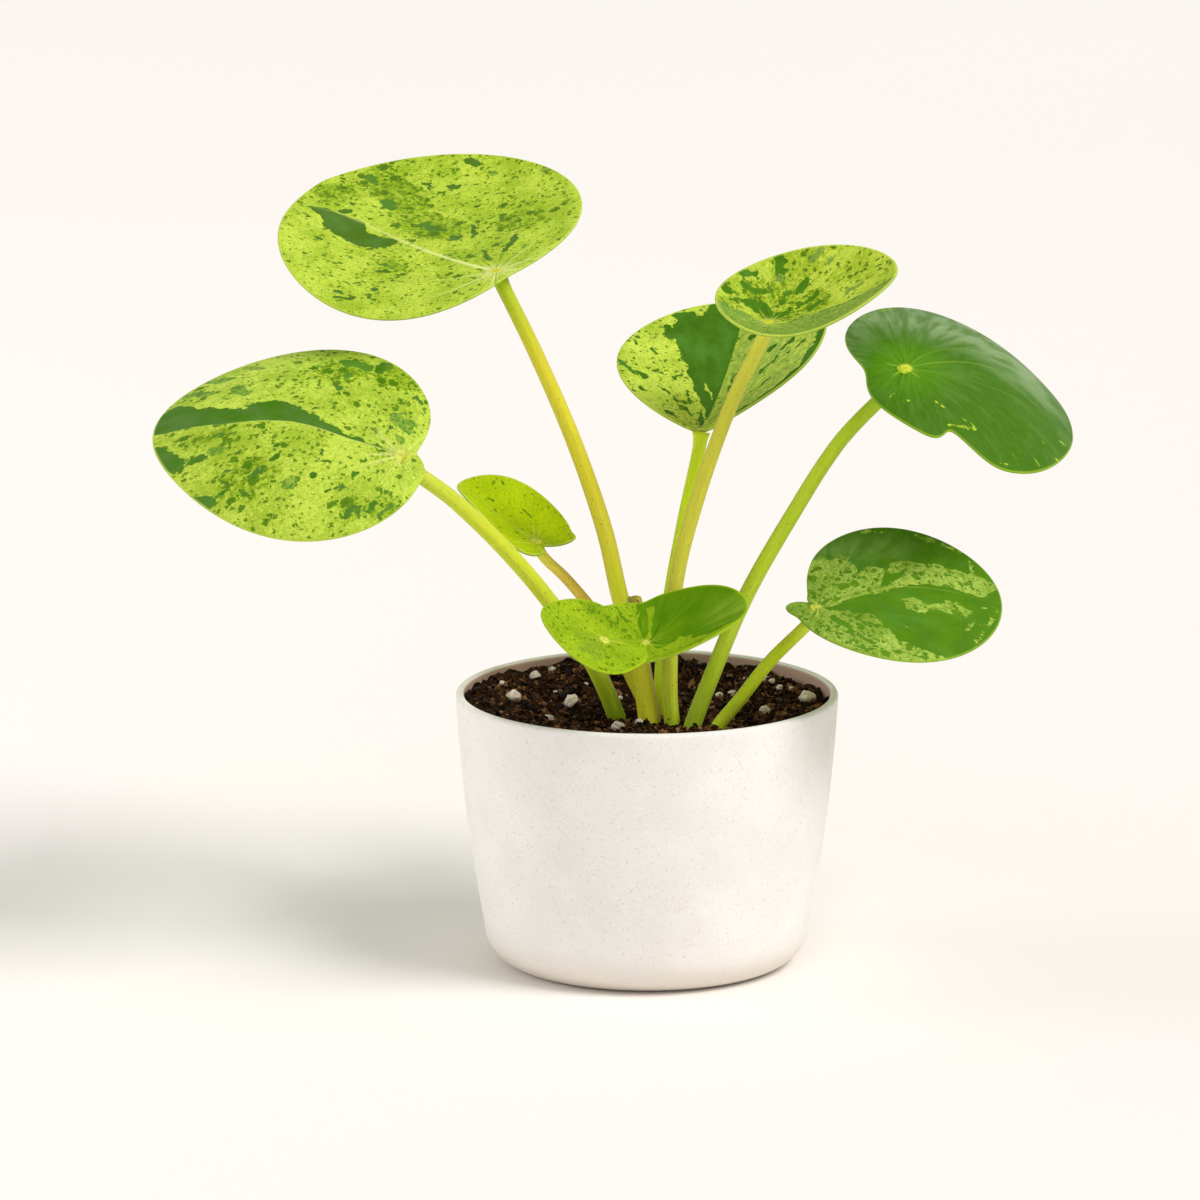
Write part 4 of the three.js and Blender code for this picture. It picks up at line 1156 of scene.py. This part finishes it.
# Leaf 4, the upright one at the back. Its blade is folded along the midrib: dark along the fold
# on its left half, streaked with grey on its right half. Its stalk stands in the soil.
grow(
    "leaf_04", seed=34.0, navel=(14.1, 15, 138.1), turn=(76, 12.4, -4.4), half_length=29.8,
    half_width=27.7, offset=29.4, egg=0.04, skew=-0.03,
    lift=(0.7, 2.9, -0.3, -0.3, 0.9, -1.5, -0.9, 0.52),
    stalk=[(3.8, -5.2, 58), (3.8, -5, 66.1), (3.6, -4.4, 75.9), (5.4, -1.5, 93.9),
        (9.6, 6.5, 116.2)],
    stalk_radii=(1.85, 1.7), skin=("c1da14", "dcf824", "dcf424", "f0ee74", (0.2, 0.3)),
    tissue=("d5ea58", "a2bc2e", "426e08", "487814"), silver="8cae48", silver_streaks=0.7,
    midrib=((0, 0), (10, -0.6), (60, -0.6)),
    patches=[
        ("dark", 1, [(48, 17.5), (51.5, 14), (56.5, 7.5), (60.5, 1.5), (60, -2.5), (43, -2.5),
            (26.5, -2.5), (9.5, -2), (3, -2), (6.5, 0), (11.5, 2), (16, 4.5), (21.5, 7),
            (26, 9.5), (29.5, 9.5), (31, 12), (38, 14.5), (43, 15.5)]),
        ("dark", 0, [(42, 18.5), (43.5, 16.5), (43, 15.5), (40, 14.5), (37, 16), (38.5, 17.5)]),
        ("dark", 0, [(33, -31), (25, -31), (19, -28.5), (12, -26), (8, -22), (1, -17), (-1, -10),
            (2, -8.8), (5, -14.2), (8, -17.9), (12, -21.1), (17, -24), (24.5, -26.2),
            (33, -26.7)]),
        ("light", 0, [(54, 13.5), (50.5, 12), (51.5, 9.5), (53.5, 9), (58, 8)]),
    ],
    streaks=[
        ("light", [(23.5, 4.5, 17.5, 1, 0.4)]),
        ("dark", [(18.5, 20, 17.5, 18, 1), (20.5, 26, 17, 20.5, 0.7), (30.5, 20, 29.5, 18, 0.4),
            (28, 15.5, 0.8), (32.5, 21.5, 0.4), (20.5, 11.5, 24, 10.5, 0.5),
            (14.5, 13.5, 12.5, 11, 0.5), (11, 9, 10.5, 8, 0.6), (8.5, 2.5, 3, 1, 0.6),
            (10.5, 18, 10.5, 17.5, 0.7), (4, 10, 3.5, 9, 0.7), (33.5, 25.5, 31.5, 23, 0.4),
            (25, 18.5, 0.4), (17, 7, 12, 5.5, 0.4), (9.5, 6, 7, 4.5, 0.4), (42, -5, 41, -6.5, 1),
            (31.5, -12.5, 31.5, -13, 1.2), (28.5, -17, 32.5, -20, 0.6), (21, -12, 26, -16.5, 0.5),
            (12, -11.5, 16, -16, 0.5), (25, -19, 28.5, -22.5, 0.5),
            (18.5, -3.5, 27.5, -3.5, 0.3)]),
    ],
    # painted reflection: the grey right half stands for the pale walls mirrored on the half that is
    # tilted away
    grey_patches=[[(4, -1), (60, -1.5), (60, -31), (33, -31), (12, -26), (-1, -10)]],
)

# Leaf 5, the cupped one at the top. Its near half is dark and greyish, its far half mottled,
# with dark patches round the point of the stalk. Its stalk stands in the soil.
grow(
    "leaf_05", seed=45.0, navel=(31.3, -6, 170.8), turn=(7.2, -3.5, 14.8), half_length=23.2,
    half_width=21.8, offset=8.9, egg=0.06, skew=0.05,
    lift=(9.8, 1.9, -0.3, -2.1, 1.6, 1.1, -1.4, 0.05),
    stalk=[(6.7, -13, 58), (6.4, -13.5, 66.3), (5.8, -13.5, 75.3), (7.3, -12, 102.9),
        (12.8, -10, 125), (22.1, -8, 151)],
    stalk_radii=(2.05, 1.8), skin=("dbf730", "dedb44", "fbfb58", "e0b070", (0.5, 0.3)),
    tissue=("d4e856", "9cb81e", "4a7a0c", "4f8214"), mottling=0.15, rare=0.3, silver_streaks=0.2,
    star=5, glow="f6f83c", rib_share=0.6, silver="608c3a",
    midrib=((0, 0), (8.5, 1.6), (14, 1), (20, -1), (25.5, -2.5), (32, -6)),
    patches=[
        ("dark", 0, [(-7, 8), (-4.5, 10), (-1.5, 9), (1.5, 6.5), (2, 3.5), (0.5, 1), (-2, 3),
            (-5, 6)]),
    ],
    streaks=[
        ("dark", [(-5.5, 17.5, -2.5, 17, 0.9), (4.5, 20.5, 4.5, 17.5, 1.2),
            (8.5, 11, 11, 14.5, 1), (-5.5, 13.5, -0.5, 12, 0.9), (-11.5, 9.5, -10, 11, 1.2),
            (-10, 7, -7, 8, 0.7), (7.5, 16.5, 7.5, 16, 0.4), (18, 19.5, 19, 19.5, 0.4),
            (29, 11.5, 30.5, 10, 0.3), (17.5, 10.5, 0.3), (5, 9, 6.5, 12, 0.6),
            (9.5, 6, 13, 8, 0.6), (2, 2, 6.5, 5.5, 0.7), (10.5, 3, 13.5, 5, 0.5),
            (0.5, 11.5, 1.5, 11.5, 0.5)]),
    ],
    grey=[(12, 19, 15, 20, 0.8), (16.5, 16, 17.5, 16.5, 1), (20.5, 4, 23.5, 4, 0.9),
        (4, 15.5, 5, 15, 0.8)],
    # painted reflection: the greyish near half stands for the pale walls mirrored on the half that
    # tilts towards the front
    grey_patches=[[(1, -1), (8.5, 1.3), (14, 0.6), (20, -1.4), (25.5, -3), (33, -6), (31, -16),
        (23.5, -20), (16.5, -23), (9, -23), (0, -20), (-6, -16), (-12, -10), (-16, -3), (-15, 2),
        (-11.5, 3), (-7.5, 3), (-3.5, 0.5), (-1, -1)]],
    mottled=[(-2, 12, 5, 11, 4), (1, 3, 13, 6, 4), (-12, 4, -9, 7, 3)],
)

# Leaf 6, the right one. Its blade is domed and dark green all over, with a bright star where
# the stalk meets it, lime flecks near its margin and a bite in the margin. Its stalk stands in
# the soil.
grow(
    "leaf_06", seed=56.0, navel=(66.6, -8, 159), turn=(21.7, 7.3, 26.5), half_length=34.5,
    half_width=31.2, offset=19.8, egg=0.18, skew=0.14,
    lift=(-13, -1.6, 3.6, -0.9, 0.7, -6.9, 0.8, 0.13), dents=[(242, 10, 0.21), (172, 19, 0.32)],
    stalk=[(9.6, -17.8, 58), (11.6, -17, 66.3), (16.2, -16, 78.6), (25, -14, 99.4),
        (36.6, -12, 120.1), (50, -10, 140.8)],
    stalk_radii=(2.25, 1.8), skin=("a9c61a", "c0db2c", "cdf034", "e4dd82", (0.2, 0.25)),
    tissue=("c6dc3c", "93b424", "487710", "467513"), ground="dark", pale="c8e050", star=3,
    # painted sheen, and painted reflection over the upper part of the dome
    sheen="7fa352", sheen_share=0.2, heart_share=0.7, heart_reach=17, eye=2.2, glow="f4ff50",
    frost=0.58, rim="9cc030", frost_tone="a8bf90", rib_share=0.25,
    midrib=((0, 0), (10, 0.8), (20, 2), (26.5, 2.5), (30.5, -1), (39, -4.5), (54, -8)),
    veins=((33, 0.011), (-31, 0.012)),
    streaks=[
        ("light", [(1, 25, 1.5, 28.5, 0.4), (6, 29, 10, 30.5, 0.5), (-8.5, -9, -8, -9, 0.2),
            (2.5, -14.5, 4, -16.5, 0.3), (5.5, -22, 8, -22, 0.5), (3, -21.5, 4.5, -22, 0.3),
            (7, -19.5, 8, -20.5, 0.3), (9.5, -21, 10, -22, 0.3), (1, -17.5, 1.5, -18, 0.2),
            (20, -26, 20.5, -26.5, 0.2), (31, -22, 31.5, -22.5, 0.2), (-5, -12.5, -4.5, -13, 0.2),
            (23, -30, 24, -29.5, 0.2), (33, -16, 33.5, -16.5, 0.2), (9, -24.5, 10, -25, 0.2),
            (17, -22.5, 17.5, -22.5, 0.2), (14, -29.5, 17.5, -28.5, 0.2),
            (27.5, -23, 28.5, -23, 0.2), (28, -24, 29, -24.5, 0.2), (36, -18.5, 37.5, -18, 0.4),
            (41.5, -10.5, 43, -10, 0.3)]),
    ],
    # painted reflection: greyish glare on the domed upper part, where the blade is seen at a
    # glancing angle
    grey_patches=[[(-12, 10), (-4, 21), (7, 16), (15, 11), (24, 9), (29, 5), (34.5, 3), (40, 2),
        (46, 4), (50, 12), (47, 18), (40, 22), (31, 29), (21, 36), (8, 33), (-2, 27), (-8, 20)]],
)

# Leaf 7, the low one at the right. Its blade is dark green with two lime bands and a lime foot,
# its edge rolled under at the base. Its stalk stands in the soil.
grow(
    "leaf_07", seed=67.0, navel=(43.9, -26, 99.9), turn=(10.9, 11.9, 20), half_length=27.4,
    half_width=25.5, offset=21.5, egg=0.08, skew=0.06,
    lift=(-2.3, -3.2, 2.2, 0.7, 2.3, -0.7, -0.5, -0.02),
    dents=[(151, 15, 0.52), (163, 6, 0.35), (173, 7, -0.4)],
    stalk=[(14, -22.6, 58), (17.8, -22, 66.9), (23.7, -22.2, 74.6), (31.9, -23, 85.5)],
    stalk_radii=(1.9, 1.55), skin=("e2fa24", "c8e01e", "f2ff50", "dcd46c", (0.2, 0.3)),
    tissue=("b8d25c", "6f9626", "59880f", "508016"), ground="dark", pale="d2e050", mottling=0.15,
    specks=0.1, rim="96b83c", zone="6f962c", speck="4f7d16", frost=0.6, haze=3,
    frost_tone="8bb05c", star=2.5, eye=1.2,
    midrib=((0, 0), (8.5, 0.7), (17.5, 3.2), (23.5, 4), (31, 3.4), (38.5, 2), (48, -1)),
    patches=[
        ("light", 0, [(4.5, 20), (9, 19.5), (13.5, 19.5), (13, 16), (14.5, 14), (12.5, 10.5),
            (17.5, 13.5), (21, 11.5), (24.5, 13.5), (27, 14), (31.5, 14), (36, 13.5),
            (38.5, 11.5), (41.5, 10), (45, 9), (49.5, 7), (48.5, 3.5), (42, 1.5), (38, 3.5),
            (33.5, 4.5), (29, 5), (24, 4.5), (19.5, 3), (15.5, 1.5), (11.5, 2), (7.5, 0.5),
            (4, -0.5), (1, -0.5), (-4, 3), (-2, 10.5), (1, 16.5)]),
        ("dark", 0, [(17, 4), (21, 9.5), (24.5, 10), (25.5, 9), (21.5, 6.5), (20, 4)]),
        ("light", 0, [(1, -1), (6.5, -4), (10.5, -6), (13.5, -8), (15.5, -12.5), (16.5, -18),
            (19.5, -19.5), (23.5, -21.5), (27.5, -22.5), (27, -27), (13, -27), (4, -24),
            (-2, -18), (-6, -10.5), (-9, -2.5), (-9, 7), (-5, 7), (-2.5, 2)]),
        ("light", 0, [(22, -1.5), (26, -1), (29, -3.5), (33.5, -1), (36, -2), (39, -5),
            (37, -7.5), (34.5, -6.5), (30.5, -5), (25.5, -6.5), (22, -5)]),
    ],
    streaks=[
        ("dark", [(3, 15.5, 5, 15, 0.6), (0.5, 6.5, 0, 4, 0.6), (2, 5.5, 2, 3.5, 0.5),
            (11.5, 9.5, 12, 8.5, 0.4), (17.5, 7, 0.7), (10.5, 12.5, 11, 12.5, 0.4),
            (30, 9, 31, 9, 0.5), (36, 10, 37.5, 9.5, 0.4), (2.5, -5.5, 5, -12.5, 1),
            (6, -14.5, 10, -18, 0.5), (-1, -9.5, 0.5, -12, 0.4), (11, -8.5, 13, -14.5, 0.3),
            (4, -19, 8.5, -21, 0.3)]),
        ("light", [(19.5, 25.5, 25.5, 25.5, 0.3), (33, 23, 37.5, 21.5, 0.4),
            (39.5, 20, 42.5, 17.5, 0.5), (44, 14, 44, 10.5, 0.4), (46, 6, 48, 6, 0.5),
            (41.5, -2.5, 43.5, -2.5, 0.4), (39.5, -10, 44, -6.5, 0.4), (35, -12, 38.5, -8, 0.5),
            (36.5, -16, 40, -12, 0.3), (45, -2, 46, -4.5, 0.4), (19.5, -12, 20, -12.5, 0.2)]),
    ],
    # painted reflection: a greyish highlight along the upper arch of the dark tissue
    grey=[(8, 21, 26, 19.5, 3)],
)

# Leaf 8, the front young one at the left. A small blade, lime with fine specks, on a short
# stalk that grows out of the main stem and reaches forwards.
grow(
    "leaf_08", seed=78.0, navel=(-11.2, -45, 95.5), turn=(186.1, 23.2, -22.5), half_length=15.3,
    half_width=13.5, offset=3, egg=0.08, skew=0.06,
    lift=(1, -0.3, -0.6, 0.3, -1.3, 1.4, 1.9, -0.07), dents=[(150, 26, 0.1)],
    stalk=[(-2.2, -9.4, 81.2), (-4.6, -14.5, 84.2), (-6.6, -25, 85.6), (-8.7, -36, 86.4),
        (-11.9, -41.7, 90.3)],
    stalk_radii=(1.4, 1.2), skin=("a8c221", "bbd331", "c0d734", "d1dc62"),
    tissue=("a9c722", "7fa00c", "658f0e", "4b8a14"), clear=0.02, rare=0.4, rim="a9c722", soft=1.8,
    glow="fbff74", pale="cbdf3c", speck="5d8208", gloss=0.03, star=4, eye=1.8, rib_share=0.0,
    silver="7c9e2a",
    streaks=[
        ("dark", [(6, -9, 5.5, -8, 0.25), (3.5, -11, 3, -11.5, 0.3), (6.5, -10.5, 6, -11, 0.25),
            (-3, -8.5, -2.5, -9.5, 0.3), (-1, -9.5, -0.5, -10.5, 0.3), (-0.5, 5.5, -2, 7, 0.2),
            (-3, 3, -5, 5.5, 0.2), (14.5, 1.5, 0.2), (5, -10.5, 4.5, -9.5, 0.3),
            (4, -9.5, 3, -10, 0.3)]),
    ],
    grey=[(1.5, 3, 5.6, 8, 1.5), (1, 6, 3, 9, 0.8), (3, 1, 7, 3.5, 0.6)],
    mottled=[(5, -9.5, 3.5, -11, 2.6), (-3, -8, -1, -10, 2.2), (-7, -4, -6, -6, 1.6)],
)

# Leaf 9, the front young one at the right, which overlaps leaf 8. Its blade is dark with lime
# at its base; its short stalk grows out of the main stem.
grow(
    "leaf_09", seed=89.0, navel=(-0.4, -28.5, 91), turn=(-3.8, 1.5, 24.3), half_length=21.2,
    half_width=14.4, offset=5.6, egg=0.01, skew=0.01,
    lift=(10.6, 1, -0.5, -3.6, -0.2, 3.5, 0.1, 0.04), dents=[(110, 10, 0.07)],
    stalk=[(-2.6, -9.2, 85.6), (-1.2, -14, 86.4), (-0.4, -20, 86.8)], stalk_radii=(1.5, 1.3),
    skin=("a8c221", "bbd331", "c0d734", "d1dc62"),
    tissue=("a4c31f", "7d9f0c", "649307", "5a8c0a"), rim="a0c01c", gloss=0.03, star=3.2, eye=1.4,
    glow="fbff74", frost=0.65, haze=4, frost_tone="98b83c", pale="cbdf3c", sheen="7ba514",
    sheen_share=0.6, soft=2.0, rib_share=0.0, ragged=0.3, rare=0.3,
    patches=[
        ("dark", 0, [(-2, 12.5), (3, 15.5), (9.5, 15.5), (16, 13.5), (22.5, 10), (27.5, 4.5),
            (28, -1), (26, -5), (20.5, -5.5), (16.5, -5.5), (14.5, -3), (12, -3.5), (9, -2),
            (7, -3), (3.5, -3), (1.5, -0.5), (0, 0.5), (-1, 1.5), (-2, 5), (-3, 8.5),
            (-2.5, 11)]),
        ("light", 0, [(-0.5, 10.5), (1.5, 11), (2, 9.5), (1.5, 6), (1, 3.5), (1, 1), (0, 0.5),
            (0, 3.5), (0.5, 7), (0, 9.5)]),
        ("light", 0, [(3.5, -3.5), (5.5, -2.5), (9, -0.5), (13, -1.5), (12, -5), (8.5, -5.5)]),
    ],
    streaks=[
        ("dark", [(-12, 9, -6.5, 5.5, 0.7), (-8, 10, -6, 7, 0.4), (-15, 5.5, -13.5, 5, 0.5),
            (-12, 4.5, -11.5, 4.5, 0.3), (-6.5, 5, -4.5, 3.5, 0.3), (-4.5, 9, 0.4),
            (-3.5, 5.5, -2.5, 2.5, 0.2), (-6, 8, -5, 6.5, 0.3)]),
    ],
    # painted reflection and painted sheen: the paler band over the dark tissue
    grey=[(19, 3, 26, 0, 2.6)],
)
